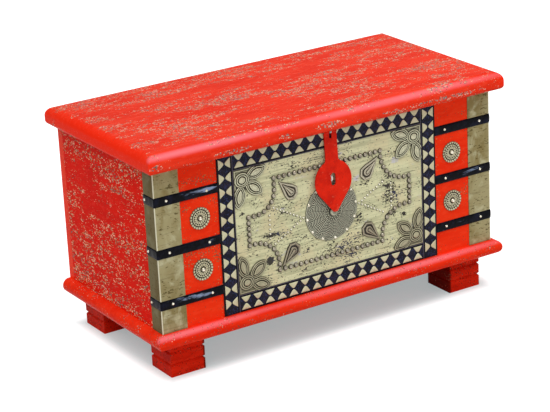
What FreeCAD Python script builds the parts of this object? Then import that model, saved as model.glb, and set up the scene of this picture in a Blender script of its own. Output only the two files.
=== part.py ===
"""Wooden storage chest on four feet, with a hinged lid, a hanging hasp and a metal-dressed front.

Millimetres. X runs along the chest, the front faces -Y, Z is up.
The origin is on the floor, under the middle of the lid, which is the largest piece in plan.
"""
import FreeCAD
import Part
import Sketcher
import math
import os

Vector = FreeCAD.Vector
Rotation = FreeCAD.Rotation
Placement = FreeCAD.Placement

# Driving sizes: alias, value, what it is
SIZES = [
    ("lid_length", 800, "lid, along the chest"),
    ("lid_depth", 404, "lid, front to back"),
    ("lid_thickness", 36, "lid"),
    ("lid_top_radius", 18, "round on the lid's upper edges"),
    ("lid_bottom_radius", 9, "round on the lid's lower edges"),
    ("lid_end_overhang", 20, "lid past the box at each end"),
    ("lid_front_overhang", 26, "lid past the box in front"),
    ("lid_rear_overhang", 10.5, "lid past the box behind"),
    ("wall_height", 318, "box walls above the base board"),
    ("wall_thickness", 18, "box walls"),
    ("seam_height", 240, "plank seam of the ends above the base board"),
    ("base_thickness", 29, "base board"),
    ("base_end_overhang", 18, "base board past the box at each end"),
    ("base_front_overhang", 18.5, "base board past the box in front"),
    ("base_rear_setback", 1.5, "base board short of the box behind"),
    ("base_edge_radius", 14, "round edge of the base board"),
    ("foot_height", 68, "feet"),
    ("foot_width", 74, "feet, along the chest"),
    ("foot_depth", 73, "feet, front to back"),
    ("foot_end_inset", 19, "feet in from the box ends"),
    ("foot_front_inset", 13, "front feet in from the box front"),
    ("foot_rear_inset", 20, "rear feet in from the box back"),
    ("groove_low_height", 24, "lower foot groove above the floor"),
    ("groove_high_height", 48, "upper foot groove above the floor"),
    ("groove_depth", 3, "foot grooves"),
    ("dowel_radius", 5, "wooden dowels"),
    ("dowel_length", 30, "wooden dowels"),
    ("dowel_inset", 60, "base dowels in from the corner of their board"),
    ("corner_dowel_inset", 30, "corner dowels in from the ends of the lower plank"),
    ("brass_thickness", 1, "brass corner plates"),
    ("brass_front_width", 52, "brass corner plates on the front"),
    ("brass_side_width", 36, "brass corner plates on the ends"),
    ("brass_gap", 2, "brass corner plates below the lid"),
    ("strap_height", 18.5, "iron straps"),
    ("strap_thickness", 1.6, "iron straps"),
    ("strap_edge_radius", 1, "round on the straps' outer edges"),
    ("strap_low_level", 56, "middle of the lowest strap above the base board"),
    ("strap_pitch", 100.5, "between strap middles"),
    ("strap_nail_radius", 2.7, "domed nail heads on the straps"),
    ("strap_nail_rise", 1.9, "domed nail heads on the straps"),
    ("strap_nail_inset", 24, "strap nails in from the strap's ends on the front"),
    ("strap_nail_side_inset", 6, "strap nails in from the strap's end on the side"),
    ("nail_shank_radius", 1, "nail shanks"),
    ("nail_shank_length", 11, "nail shanks below the head"),
    ("rosette_radius", 19.5, "circle on which the rosette's scallops sit"),
    ("scallop_radius", 2.6, "rosette scallops"),
    ("scallop_count", 20, "rosette scallops"),
    ("rosette_thickness", 1.6, "rosette plate"),
    ("rosette_ring_radius", 13.5, "raised ring of the rosette"),
    ("rosette_ring_wire", 1.3, "raised ring of the rosette, half thickness"),
    ("rosette_dome_radius", 8.5, "middle dome of the rosette"),
    ("rosette_dome_rise", 2.4, "middle dome of the rosette"),
    ("rosette_nail_radius", 3.6, "domed nail in the rosette"),
    ("rosette_nail_rise", 2.8, "domed nail in the rosette"),
    ("panel_side_gap", 81, "bare wood between brass corner and front panel"),
    ("panel_bottom_gap", 1, "front panel above the base board"),
    ("panel_top_gap", 3, "front panel below the lid"),
    ("border_width", 34, "border strips of the panel"),
    ("border_thickness", 2, "border strips of the panel"),
    ("field_thickness", 1.5, "field of the panel"),
    ("flower_margin", 0.8, "corner flowers in from the field's edges"),
    ("flower_boss_radius", 15, "flower boss plate"),
    ("flower_dome_rise", 3.4, "flower domes above their plate"),
    ("flower_plate", 1.5, "flower plate"),
    ("petal_length", 43, "flower petals"),
    ("petal_width", 20, "flower petals"),
    ("petal_reach", 32, "petal middles from the boss"),
    ("drop_space", 80, "space from disc to teardrop tip for which the teardrop's sizes are given"),
    ("drop_length", 37, "teardrops, tip to middle of the round end"),
    ("drop_radius", 15.5, "round end of the teardrops"),
    ("drop_plate", 1.6, "plate of the teardrops"),
    ("drop_core_radius", 5, "raised core of the teardrops"),
    ("drop_tip_half", 0.8, "half width of the teardrop's tip"),
    ("drop_tip_gap", 6, "teardrop tips in from the nail frame's sides"),
    ("drop_left_stray", 6, "left teardrops further out than the right ones"),
    ("drop_tip_drop", 7, "teardrop tips in from the nail frame's rows, up and down"),
    ("frame_field_half", 213, "half width of the field for which the nail frame's margins are given"),
    ("frame_side_margin", 97, "nail frame's upright sides in from the field's sides"),
    ("frame_row_margin", 31, "nail frame's rows in from the field's top and bottom"),
    ("frame_bump_margin", 28, "nail frame's bumps in from the field's sides"),
    ("frame_bump_half", 27.7, "half height of the nail frame's bumps"),
    ("frame_drop", 2.4, "hand-set nail frame's middle below the field's middle"),
    ("frame_top_left_stray", 10, "top left corner of the nail frame further out"),
    ("frame_bottom_left_stray", 5.5, "bottom left corner of the nail frame further out"),
    ("frame_right_bump_stray", 2.5, "right bump of the nail frame less far out"),
    ("frame_top_left_curve", 42, "curve from the frame's left side to its bump, upper"),
    ("frame_top_right_curve", 58, "curve from the frame's right side to its bump, upper"),
    ("frame_low_curve", 52, "curves from the frame's sides to its bumps, lower"),
    ("frame_nail_radius", 4.9, "large domed nails"),
    ("frame_nail_rise", 4.2, "large domed nails"),
    ("frame_nail_pitch", 11.7, "between large domed nails"),
    ("dot_nail_radius", 2.3, "small domed nails"),
    ("dot_nail_rise", 1.9, "small domed nails"),
    ("dot_nail_pitch", 8.4, "between small domed nails"),
    ("dot_fan_rise", 36, "rise of the dotted lines from the disc"),
    ("dot_right_share", 0.85, "right dotted lines as a share of the left ones"),
    ("dot_column_half", 23, "half height of the dotted columns"),
    ("dot_column_gap", 10, "dotted column beyond the dotted lines"),
    ("dot_column_margin", 46, "dotted columns in from the nail frame's bumps"),
    ("disc_radius", 59, "round disc"),
    ("disc_drop", 4.5, "disc, dots and teardrops lower than the field's middle"),
    ("disc_rim", 1.5, "rim of the disc"),
    ("disc_dome_margin", 8, "dome of the disc in from its rim"),
    ("disc_dome_rise", 5, "dome of the disc above its rim"),
    ("disc_boss_radius", 8, "middle boss of the disc"),
    ("disc_boss_cap", 4, "rounded cap of the boss"),
    ("disc_nail_count", 12, "nails round the disc"),
    ("disc_nail_inset", 3.1, "nails in from the disc's edge"),
    ("disc_nail_radius", 3, "nails round the disc"),
    ("disc_nail_rise", 2.2, "nails round the disc"),
    ("disc_nail_turn", 6, "first disc nail, degrees"),
    ("hasp_thickness", 2.5, "hasp plate"),
    ("hasp_neck_width", 28, "hasp neck"),
    ("hasp_body_radius", 41, "round body of the hasp"),
    ("hasp_body_drop", 96, "middle of the hasp's body below its pin"),
    ("hasp_tip_drop", 157, "tip of the hasp below its pin"),
    ("hasp_tip_half", 4, "half width of the hasp's blunt tip"),
    ("hasp_tip_radius", 3, "round on the hasp's tip"),
    ("hasp_shoulder_radius", 7, "hollow round between the hasp's neck and body"),
    ("hasp_slot_width", 11, "slot of the hasp"),
    ("hasp_slot_length", 25, "slot of the hasp"),
    ("hasp_slot_drop", 93, "middle of the slot below the pin"),
    ("hasp_lean", 3.5, "hasp out of upright at rest, degrees"),
    ("hasp_knuckle_radius", 2.8, "rounded top of the hasp"),
    ("hasp_eye_gap", 13, "gap for the eye, below the pin"),
    ("hasp_pin_radius", 1.5, "hasp pin"),
    ("hasp_pin_reach", 6.5, "hasp pin in front of the box"),
    ("hasp_pin_drop", 5.5, "hasp pin below the lid"),
    ("eye_thickness", 4, "eye, along the chest"),
    ("eye_radius", 3.6, "eye ring"),
    ("eye_shank_radius", 1.6, "eye shank in the lid"),
    ("eye_shank_length", 20, "eye shank in the lid"),
    ("eye_side_clearance", 0.6, "eye in the hasp's gap"),
    ("running_clearance", 0.05, "pins in the holes that turn on them"),
    ("rest_clearance", 0.4, "hasp at rest above the boss"),
    ("staple_wire_radius", 2.3, "staple wire"),
    ("staple_half_span", 5.6, "staple legs from the slot's middle"),
    ("staple_rise", 8.2, "staple above the field"),
    ("staple_leg_length", 12, "staple legs in the board"),
    ("hinge_length", 60, "butt hinges"),
    ("hinge_inset", 120, "hinges in from the box ends"),
    ("hinge_leaf_width", 12.5, "hinge leaves"),
    ("hinge_leaf_thickness", 1.6, "hinge leaves"),
    ("hinge_leaf_gap", 0.2, "each leaf from the parting plane"),
    ("hinge_axis_reach", 1.2, "hinge pin behind the box"),
    ("hinge_barrel_radius", 3.5, "hinge knuckles"),
    ("hinge_pin_radius", 1.5, "hinge pins"),
    ("hinge_knuckle_gap", 0.3, "between hinge knuckles"),
    ("hinge_cove_clearance", 0.6, "wood round the hinge knuckles"),
    ("hinge_screw_head_radius", 3, "hinge screw heads"),
    ("hinge_screw_radius", 1.4, "hinge screws"),
    ("hinge_screw_length", 13, "hinge screws"),
    ("hinge_screw_inset", 14, "hinge screws in from the leaf's ends"),
]

doc = FreeCAD.newDocument("storage_chest")
sheet = doc.addObject("Spreadsheet::Sheet", "sizes")
for row, (alias, value, note) in enumerate(SIZES, start=1):
    sheet.set("A%d" % row, note)
    sheet.set("B%d" % row, str(value))
    sheet.setAlias("B%d" % row, alias)
doc.recompute()

# Finished pieces, in the order they are made
PIECES = []

# Places that many pieces share, as expressions on the sheet
BASE_TOP = "(sizes.foot_height + sizes.base_thickness)"
WALL_TOP = "(sizes.foot_height + sizes.base_thickness + sizes.wall_height)"
BOX_X = "(sizes.lid_length / 2 - sizes.lid_end_overhang)"
FRONT_Y = "(sizes.lid_front_overhang - sizes.lid_depth / 2)"
BACK_Y = "(sizes.lid_depth / 2 - sizes.lid_rear_overhang)"
INNER_FRONT_Y = "(sizes.lid_front_overhang - sizes.lid_depth / 2 + sizes.wall_thickness)"
INNER_BACK_Y = "(sizes.lid_depth / 2 - sizes.lid_rear_overhang - sizes.wall_thickness)"
PANEL_X = "(" + BOX_X + " - sizes.brass_front_width - sizes.panel_side_gap)"
PANEL_LOW = "(" + BASE_TOP + " + sizes.panel_bottom_gap)"
PANEL_HIGH = "(" + WALL_TOP + " - sizes.panel_top_gap)"
FIELD_X = "(" + PANEL_X + " - sizes.border_width)"
FIELD_LOW = "(" + PANEL_LOW + " + sizes.border_width)"
FIELD_HIGH = "(" + PANEL_HIGH + " - sizes.border_width)"
FIELD_MID = "((" + PANEL_LOW + " + " + PANEL_HIGH + ") / 2)"
DISC_MID = "(" + FIELD_MID + " - sizes.disc_drop)"
FIELD_FACE_Y = "(" + FRONT_Y + " - sizes.field_thickness)"
HASP_PIN_Y = "(" + FRONT_Y + " - sizes.hasp_pin_reach)"
HASP_PIN_Z = "(" + WALL_TOP + " - sizes.hasp_pin_drop)"
HINGE_Y = "(" + BACK_Y + " + sizes.hinge_axis_reach)"

# Turns local up (+Z) to face the front (-Y), and local +Y to up
FACING_FRONT = Rotation(Vector(1, 0, 0), 90)
ALONG_X = Rotation(Vector(0, 1, 0), 90)
UPRIGHT = Rotation()


def size(alias):
    """Return a driving size as a number."""
    return float(sheet.get(alias))


def place(obj, position, turn=UPRIGHT):
    """Turn an object and bind its position to three expressions."""
    obj.Placement = Placement(Vector(), turn)
    for axis, expression in zip("xyz", position):
        obj.setExpression("Placement.Base." + axis, expression)
    return obj


def piece(obj, label):
    """Give a finished piece its name and keep it."""
    obj.Label = label
    PIECES.append(obj)
    return obj


def box(name, lengths, corner, turn=UPRIGHT):
    """Make a block from three length expressions and its low corner."""
    obj = doc.addObject("Part::Box", name)
    for prop, expression in zip(("Length", "Width", "Height"), lengths):
        obj.setExpression(prop, expression)
    return place(obj, corner, turn)


def span_box(name, spans):
    """Make a block from three (low, high) pairs of expressions."""
    lengths = ["(%s) - (%s)" % (high, low) for low, high in spans]
    return box(name, lengths, [low for low, high in spans])


def side_box(name, sign, x_span, y_span, z_span):
    """Make a block on one end of the chest; x_span is the distance from the middle plane."""
    near, far = x_span
    if sign < 0:
        return span_box(name, (("-(%s)" % far, "-(%s)" % near), y_span, z_span))
    return span_box(name, ((near, far), y_span, z_span))


def cylinder(name, radius, height, base, turn=UPRIGHT):
    """Make a round bar from its radius, its length and the middle of its base."""
    obj = doc.addObject("Part::Cylinder", name)
    obj.setExpression("Radius", radius)
    obj.setExpression("Height", height)
    return place(obj, base, turn)


def dome(name, rise, half_x, half_y, base, turn=UPRIGHT):
    """Make half an ellipsoid that stands on its base and rises along its local +Z."""
    obj = doc.addObject("Part::Ellipsoid", name)
    obj.setExpression("Radius1", rise)
    obj.setExpression("Radius2", half_x)
    obj.setExpression("Radius3", half_y)
    obj.Angle1 = 0
    obj.Angle2 = 90
    return place(obj, base, turn)


def fuse(name, shapes):
    """Join shapes into one solid."""
    obj = doc.addObject("Part::MultiFuse", name)
    obj.Shapes = shapes
    obj.Refine = True
    return obj


def common(name, shapes):
    """Keep what the shapes share."""
    obj = doc.addObject("Part::MultiCommon", name)
    obj.Shapes = shapes
    return obj


def cut(name, base, tools):
    """Take tools out of a shape."""
    obj = doc.addObject("Part::Cut", name)
    obj.Base = base
    if len(tools) > 1:
        obj.Tool = fuse(name + "_tools", tools)
    else:
        obj.Tool = tools[0]
    return obj


def round_edges(name, base, radius, wanted):
    """Round the edges of a shape that a test picks out."""
    doc.recompute()
    obj = doc.addObject("Part::Fillet", name)
    obj.Base = base
    numbered = enumerate(base.Shape.Edges, start=1)
    obj.Edges = [(number, radius, radius) for number, edge in numbered if wanted(edge)]
    return obj


def origin_feature(body, role):
    """Find one of a body's own origin planes or axes."""
    for feature in body.Origin.OriginFeatures:
        if feature.Role == role:
            return feature
    raise ValueError("no " + role)


def flat_sketch(body, name):
    """Start a sketch on a body's own XY plane."""
    sketch = body.newObject("Sketcher::SketchObject", name)
    sketch.AttachmentSupport = [(origin_feature(body, "XY_Plane"), "")]
    sketch.MapMode = "FlatFace"
    return sketch


def bind_constraint(sketch, constraint, name, expression):
    """Add a sized constraint and bind it to an expression."""
    number = sketch.addConstraint(constraint)
    sketch.renameConstraint(number, name)
    sketch.setExpression("Constraints." + name, expression)


def rectangle_pad(body, name, x_span, y_span, height):
    """Pad a rectangle, given by two (low, high) pairs of expressions, up to a height."""
    sketch = flat_sketch(body, name + "_sketch")
    corners = [Vector(-10, -10, 0), Vector(10, -10, 0), Vector(10, 10, 0), Vector(-10, 10, 0)]
    for index in range(4):
        sketch.addGeometry(Part.LineSegment(corners[index], corners[(index + 1) % 4]), False)
    for index in range(4):
        sketch.addConstraint(Sketcher.Constraint("Coincident", index, 2, (index + 1) % 4, 1))
    for index in (0, 2):
        sketch.addConstraint(Sketcher.Constraint("Horizontal", index))
        sketch.addConstraint(Sketcher.Constraint("Vertical", index + 1))
    bind_constraint(sketch, Sketcher.Constraint("DistanceX", 0, 1, -10.0), "x_low", x_span[0])
    bind_constraint(sketch, Sketcher.Constraint("DistanceX", 1, 2, 10.0), "x_high", x_span[1])
    bind_constraint(sketch, Sketcher.Constraint("DistanceY", 0, 1, -10.0), "y_low", y_span[0])
    bind_constraint(sketch, Sketcher.Constraint("DistanceY", 2, 1, 10.0), "y_high", y_span[1])
    pad = body.newObject("PartDesign::Pad", name + "_pad")
    pad.Profile = sketch
    pad.setExpression("Length", height)
    return pad


def circle_pad(body, name, radius, across, height):
    """Pad a circle whose middle is a distance across the body's own Y axis."""
    sketch = flat_sketch(body, name + "_sketch")
    sketch.addGeometry(Part.Circle(Vector(0, 5, 0), Vector(0, 0, 1), 3), False)
    bind_constraint(sketch, Sketcher.Constraint("Radius", 0, 3.0), "radius", radius)
    sketch.addConstraint(Sketcher.Constraint("PointOnObject", 0, 3, -2))
    bind_constraint(sketch, Sketcher.Constraint("DistanceY", 0, 3, 5.0), "across", across)
    pad = body.newObject("PartDesign::Pad", name + "_pad")
    pad.Profile = sketch
    pad.setExpression("Length", height)
    return pad


def body_fillet(body, name, base, radius, wanted):
    """Round the edges of a body's last feature that a test picks out."""
    doc.recompute()
    numbered = enumerate(base.Shape.Edges, start=1)
    names = ["Edge%d" % number for number, edge in numbered if wanted(edge)]
    fillet = body.newObject("PartDesign::Fillet", name)
    fillet.Base = (base, names)
    fillet.setExpression("Radius", radius)
    return fillet


def nail(head_radius, rise, shank_radius, shank_length):
    """Make one domed nail whose head stands on the origin and faces the front."""
    ball = (head_radius ** 2 + rise ** 2) / (2 * rise)
    half_turn = math.asin(min(1.0, head_radius / ball)) / 2
    middle = Vector(ball * math.sin(half_turn), -(rise - ball + ball * math.cos(half_turn)), 0)
    top = Vector(0, -rise, 0)
    rim = Vector(head_radius, 0, 0)
    neck = Vector(shank_radius, 0, 0)
    foot = Vector(shank_radius, shank_length, 0)
    end = Vector(0, shank_length, 0)
    edges = [Part.Arc(top, middle, rim).toShape()]
    for start, stop in ((rim, neck), (neck, foot), (foot, end), (end, top)):
        edges.append(Part.LineSegment(start, stop).toShape())
    return Part.Face(Part.Wire(edges)).revolve(Vector(), Vector(0, 1, 0), 360)


def group(name, solids):
    """Keep separate solids that are one kind of fastener as one piece."""
    obj = doc.addObject("Part::Feature", name)
    obj.Shape = Part.makeCompound(solids)
    obj.Placement = Placement()
    return piece(obj, name)


def moved(solid, position, turn=UPRIGHT):
    """Return a copy of a solid at a position."""
    copy = solid.copy()
    copy.Placement = Placement(position, turn)
    return copy


# Feet, each with two V grooves all round
def make_foot(label, x_low, y_low):
    """Make one foot from the expressions of its low corner."""
    block = box(label + "_block", ("sizes.foot_width", "sizes.foot_depth", "sizes.foot_height"),
                (x_low, y_low, "0"))
    tools = []
    square = "sizes.groove_depth * sqrt(2)"
    for level in ("groove_low_height", "groove_high_height"):
        tilt = Rotation(Vector(1, 0, 0), 45)
        for face, y_face in (("front", y_low), ("rear", y_low + " + sizes.foot_depth")):
            corner = (x_low + " - 5", y_face, "sizes.%s - sizes.groove_depth" % level)
            lengths = ("sizes.foot_width + 10", square, square)
            tools.append(box("%s_%s_%s" % (label, level, face), lengths, corner, tilt))
        tilt = Rotation(Vector(0, 1, 0), 45)
        for face, x_face in (("left", x_low), ("right", x_low + " + sizes.foot_width")):
            corner = (x_face + " - sizes.groove_depth", y_low + " - 5", "sizes." + level)
            lengths = (square, "sizes.foot_depth + 10", square)
            tools.append(box("%s_%s_%s" % (label, level, face), lengths, corner, tilt))
    piece(cut(label, block, tools), label)


FOOT_LEFT_X = "-" + BOX_X + " + sizes.foot_end_inset"
FOOT_RIGHT_X = BOX_X + " - sizes.foot_end_inset - sizes.foot_width"
FOOT_FRONT_Y = FRONT_Y + " + sizes.foot_front_inset"
FOOT_REAR_Y = BACK_Y + " - sizes.foot_rear_inset - sizes.foot_depth"
make_foot("foot_front_left", FOOT_LEFT_X, FOOT_FRONT_Y)
make_foot("foot_front_right", FOOT_RIGHT_X, FOOT_FRONT_Y)
make_foot("foot_rear_left", FOOT_LEFT_X, FOOT_REAR_Y)
make_foot("foot_rear_right", FOOT_RIGHT_X, FOOT_REAR_Y)

# Base board with a round edge in front and at the ends
base = doc.addObject("PartDesign::Body", "base_board")
base_half = "(" + BOX_X + " + sizes.base_end_overhang)"
base_pad = rectangle_pad(
    base, "base", ("-" + base_half, base_half),
    (FRONT_Y + " - sizes.base_front_overhang", BACK_Y + " - sizes.base_rear_setback"),
    "sizes.base_thickness")
doc.recompute()
base_box = base_pad.Shape.BoundBox


def base_round_edge(edge):
    """Pick the level edges of the base board's front and ends."""
    bounds = edge.BoundBox
    if bounds.ZLength > 1e-6:
        return False
    at_front = abs(bounds.YMax - base_box.YMin) < 1e-6
    at_end = bounds.XLength < 1e-6
    return at_front or at_end


body_fillet(base, "base_round", base_pad, "min(sizes.base_edge_radius; sizes.base_thickness / 2 - 0.5)",
            base_round_edge)
place(base, ("0", "0", "sizes.foot_height"))
piece(base, "base_board")

# Box walls: the front and back boards run full length, the ends stand between them
front = span_box("front_board", (("-" + BOX_X, BOX_X), (FRONT_Y, INNER_FRONT_Y), (BASE_TOP, WALL_TOP)))
piece(front, "front_board")
for end, sign in (("left", -1), ("right", 1)):
    seam = "(" + BASE_TOP + " + sizes.seam_height)"
    for level, span in (("lower", (BASE_TOP, seam)), ("upper", (seam, WALL_TOP))):
        label = "%s_end_%s_plank" % (end, level)
        plank = side_box(label, sign, (BOX_X + " - sizes.wall_thickness", BOX_X),
                         (INNER_FRONT_Y, INNER_BACK_Y), span)
        piece(plank, label)

# Back board, let in for the hinges
back_block = span_box("back_block", (("-" + BOX_X, BOX_X), (INNER_BACK_Y, BACK_Y), (BASE_TOP, WALL_TOP)))
back_tools = []
lid_tools = []
LEAF_FRONT_Y = "(" + HINGE_Y + " - sizes.hinge_barrel_radius - sizes.hinge_cove_clearance"
LEAF_FRONT_Y += " - sizes.hinge_leaf_width)"
LEAF_REAR_Y = "(" + HINGE_Y + " - sizes.hinge_barrel_radius - sizes.hinge_cove_clearance)"
RECESS = "(sizes.hinge_leaf_thickness + sizes.hinge_leaf_gap)"
HINGE_STARTS = {
    "left": "(sizes.hinge_inset - " + BOX_X + ")",
    "right": "(" + BOX_X + " - sizes.hinge_inset - sizes.hinge_length)",
}
for end, start in HINGE_STARTS.items():
    x_span = (start, start + " + sizes.hinge_length")
    leaf_span = (LEAF_FRONT_Y, HINGE_Y)
    back_tools.append(span_box("back_recess_" + end, (x_span, leaf_span, (WALL_TOP + " - " + RECESS,
                                                                          WALL_TOP + " + 1"))))
    lid_tools.append(span_box("lid_recess_" + end, (x_span, leaf_span, (WALL_TOP + " - 1",
                                                                        WALL_TOP + " + " + RECESS))))
    for side, tools in (("back", back_tools), ("lid", lid_tools)):
        cove = cylinder("%s_cove_%s" % (side, end),
                        "sizes.hinge_barrel_radius + sizes.hinge_cove_clearance",
                        "sizes.hinge_length + 2 * sizes.hinge_cove_clearance",
                        (start + " - sizes.hinge_cove_clearance", HINGE_Y, WALL_TOP), ALONG_X)
        tools.append(cove)
piece(cut("back_board", back_block, back_tools), "back_board")

# Lid board with round edges, let in for the hinges
lid = doc.addObject("PartDesign::Body", "lid_body")
lid_pad = rectangle_pad(lid, "lid", ("-sizes.lid_length / 2", "sizes.lid_length / 2"),
                        ("-sizes.lid_depth / 2", "sizes.lid_depth / 2"), "sizes.lid_thickness")
doc.recompute()
lid_height = size("lid_thickness")


def level_edge_at(height):
    """Return a test for level edges at a height."""
    def wanted(edge):
        bounds = edge.BoundBox
        return bounds.ZLength < 1e-6 and abs(bounds.ZMin - height) < 1e-6
    return wanted


lid_upper = body_fillet(lid, "lid_upper_round", lid_pad, "sizes.lid_top_radius", level_edge_at(lid_height))
body_fillet(lid, "lid_lower_round", lid_upper, "sizes.lid_bottom_radius", level_edge_at(0))
place(lid, ("0", "0", WALL_TOP))
piece(cut("lid_board", lid, lid_tools), "lid_board")

# Butt hinges: fixed leaf with two knuckles, moving leaf with one, and a pin
KNUCKLE = "((sizes.hinge_length - 2 * sizes.hinge_knuckle_gap) / 3)"


def hinge_leaf(label, start, knuckle_starts, z_span, bore):
    """Make one hinge leaf with its knuckles."""
    plate = span_box(label + "_plate", ((start, start + " + sizes.hinge_length"),
                                        (LEAF_FRONT_Y, LEAF_REAR_Y), z_span))
    shapes = [plate]
    for number, offset in enumerate(knuckle_starts):
        x_low = start + " + " + offset
        web = span_box("%s_web_%d" % (label, number), ((x_low, x_low + " + " + KNUCKLE),
                                                       (LEAF_REAR_Y, HINGE_Y), z_span))
        shapes.append(web)
        shapes.append(cylinder("%s_knuckle_%d" % (label, number), "sizes.hinge_barrel_radius", KNUCKLE,
                               (x_low, HINGE_Y, WALL_TOP), ALONG_X))
    hole = cylinder(label + "_bore", bore, "sizes.hinge_length + 2", (start + " - 1", HINGE_Y, WALL_TOP),
                    ALONG_X)
    return cut(label + "_bored", fuse(label + "_solid", shapes), [hole])


def hinge_screw():
    """Make one countersunk hinge screw that points down from the origin."""
    head_radius = size("hinge_screw_head_radius")
    shank_radius = size("hinge_screw_radius")
    head_depth = size("hinge_leaf_thickness")
    length = size("hinge_screw_length")
    outline = [Vector(0, 0, 0), Vector(head_radius, 0, 0), Vector(shank_radius, 0, -head_depth),
               Vector(shank_radius, 0, -length), Vector(0, 0, -length)]
    wire = Part.makePolygon(outline + outline[:1])
    return Part.Face(wire).revolve(Vector(), Vector(0, 0, 1), 360)


wall_top = size("foot_height") + size("base_thickness") + size("wall_height")
box_half = size("lid_length") / 2 - size("lid_end_overhang")
front_y = size("lid_front_overhang") - size("lid_depth") / 2
back_y = size("lid_depth") / 2 - size("lid_rear_overhang")
hinge_y = back_y + size("hinge_axis_reach")
screw_y = (hinge_y - size("hinge_barrel_radius") - size("hinge_cove_clearance")
           - size("hinge_leaf_width") / 2)
screw_x = []
for start in (size("hinge_inset") - box_half, box_half - size("hinge_inset") - size("hinge_length")):
    screw_x.append(start + size("hinge_screw_inset"))
    screw_x.append(start + size("hinge_length") - size("hinge_screw_inset"))
leaf_gap = size("hinge_leaf_gap")
screw = hinge_screw()
over = Rotation(Vector(1, 0, 0), 180)
screws_box = group("hinge_screws_box",
                   [moved(screw, Vector(x, screw_y, wall_top - leaf_gap)) for x in screw_x])
screws_lid = group("hinge_screws_lid",
                   [moved(screw, Vector(x, screw_y, wall_top + leaf_gap), over) for x in screw_x])
for end, start in HINGE_STARTS.items():
    low_span = (WALL_TOP + " - " + RECESS, WALL_TOP + " - sizes.hinge_leaf_gap")
    high_span = (WALL_TOP + " + sizes.hinge_leaf_gap", WALL_TOP + " + " + RECESS)
    last = "2 * " + KNUCKLE + " + 2 * sizes.hinge_knuckle_gap"
    fixed = hinge_leaf("hinge_fixed_leaf_" + end, start, ("0", last), low_span, "sizes.hinge_pin_radius")
    piece(cut("hinge_fixed_leaf_" + end, fixed, [screws_box]), "hinge_fixed_leaf_" + end)
    middle = KNUCKLE + " + sizes.hinge_knuckle_gap"
    moving = hinge_leaf("hinge_moving_leaf_" + end, start, (middle,), high_span,
                        "sizes.hinge_pin_radius + sizes.running_clearance")
    piece(cut("hinge_moving_leaf_" + end, moving, [screws_lid]), "hinge_moving_leaf_" + end)
    pin = cylinder("hinge_pin_" + end, "sizes.hinge_pin_radius", "sizes.hinge_length",
                   (start, HINGE_Y, WALL_TOP), ALONG_X)
    piece(pin, "hinge_pin_" + end)

# Hasp: neck, round body and pointed end, hanging on a pin through an eye under the lid
neck = box("hasp_neck", ("sizes.hasp_neck_width", "sizes.hasp_thickness", "sizes.hasp_body_drop"),
           ("-sizes.hasp_neck_width / 2", "-sizes.hasp_thickness / 2", "-sizes.hasp_body_drop"))
knuckle = cylinder("hasp_knuckle", "sizes.hasp_knuckle_radius", "sizes.hasp_neck_width",
                   ("-sizes.hasp_neck_width / 2", "0", "0"), ALONG_X)
round_body = cylinder("hasp_round", "sizes.hasp_body_radius", "sizes.hasp_thickness",
                      ("0", "sizes.hasp_thickness / 2", "-sizes.hasp_body_drop"), FACING_FRONT)
point = doc.addObject("Part::Wedge", "hasp_point")
point.Ymin = 0
point.Ymax = 10
HASP_SHOULDER = "sizes.hasp_body_radius * sqrt(0.5)"
for prop, expression in (
        ("Xmin", "-" + HASP_SHOULDER), ("Xmax", HASP_SHOULDER),
        ("X2min", "-sizes.hasp_tip_half"), ("X2max", "sizes.hasp_tip_half"),
        ("Zmin", "-sizes.hasp_thickness / 2"), ("Zmax", "sizes.hasp_thickness / 2"),
        ("Z2min", "-sizes.hasp_thickness / 2"), ("Z2max", "sizes.hasp_thickness / 2"),
        ("Ymax", "sizes.hasp_tip_drop - sizes.hasp_body_drop - " + HASP_SHOULDER)):
    point.setExpression(prop, expression)
place(point, ("0", "0", "-sizes.hasp_body_drop - " + HASP_SHOULDER), Rotation(Vector(1, 0, 0), -90))
hasp_plate = fuse("hasp_plate", [neck, knuckle, round_body, point])


def hasp_edge_at(half_width, low, high):
    """Return a test for the hasp's edges through its thickness, at a half width and between two heights."""
    def wanted(edge):
        bounds = edge.BoundBox
        through = bounds.XLength < 1e-6 and bounds.ZLength < 1e-6
        at_side = abs(abs(bounds.XMax) - half_width) < 1e-4
        return through and at_side and low < bounds.ZMin < high
    return wanted


hasp_shouldered = round_edges(
    "hasp_shoulders", hasp_plate, size("hasp_shoulder_radius"),
    hasp_edge_at(size("hasp_neck_width") / 2, -size("hasp_body_drop"), -size("hasp_knuckle_radius") - 1))
hasp_rounded = round_edges(
    "hasp_tip_round", hasp_shouldered, min(size("hasp_tip_radius"), size("hasp_tip_half") * 0.9),
    hasp_edge_at(size("hasp_tip_half"), -size("hasp_tip_drop") - 1, -size("hasp_tip_drop") + 1))
slot_half = "(sizes.hasp_slot_length / 2 - sizes.hasp_slot_width / 2)"
slot = box("hasp_slot", ("sizes.hasp_slot_width", "20", "2 * " + slot_half),
           ("-sizes.hasp_slot_width / 2", "-10", "-sizes.hasp_slot_drop - " + slot_half))
slot_top = cylinder("hasp_slot_top", "sizes.hasp_slot_width / 2", "20",
                    ("0", "10", "-sizes.hasp_slot_drop + " + slot_half), FACING_FRONT)
slot_end = cylinder("hasp_slot_end", "sizes.hasp_slot_width / 2", "20",
                    ("0", "10", "-sizes.hasp_slot_drop - " + slot_half), FACING_FRONT)
eye_room = "(sizes.eye_thickness + 2 * sizes.eye_side_clearance)"
eye_gap = box("hasp_gap", (eye_room, "20", "sizes.hasp_eye_gap + 10"),
              ("-" + eye_room + " / 2", "-10", "-sizes.hasp_eye_gap"))
pin_hole = cylinder("hasp_pin_hole", "sizes.hasp_pin_radius", "sizes.hasp_neck_width + 2",
                    ("-sizes.hasp_neck_width / 2 - 1", "0", "0"), ALONG_X)
hasp = cut("hasp", hasp_rounded, [slot, slot_top, slot_end, eye_gap, pin_hole])
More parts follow.
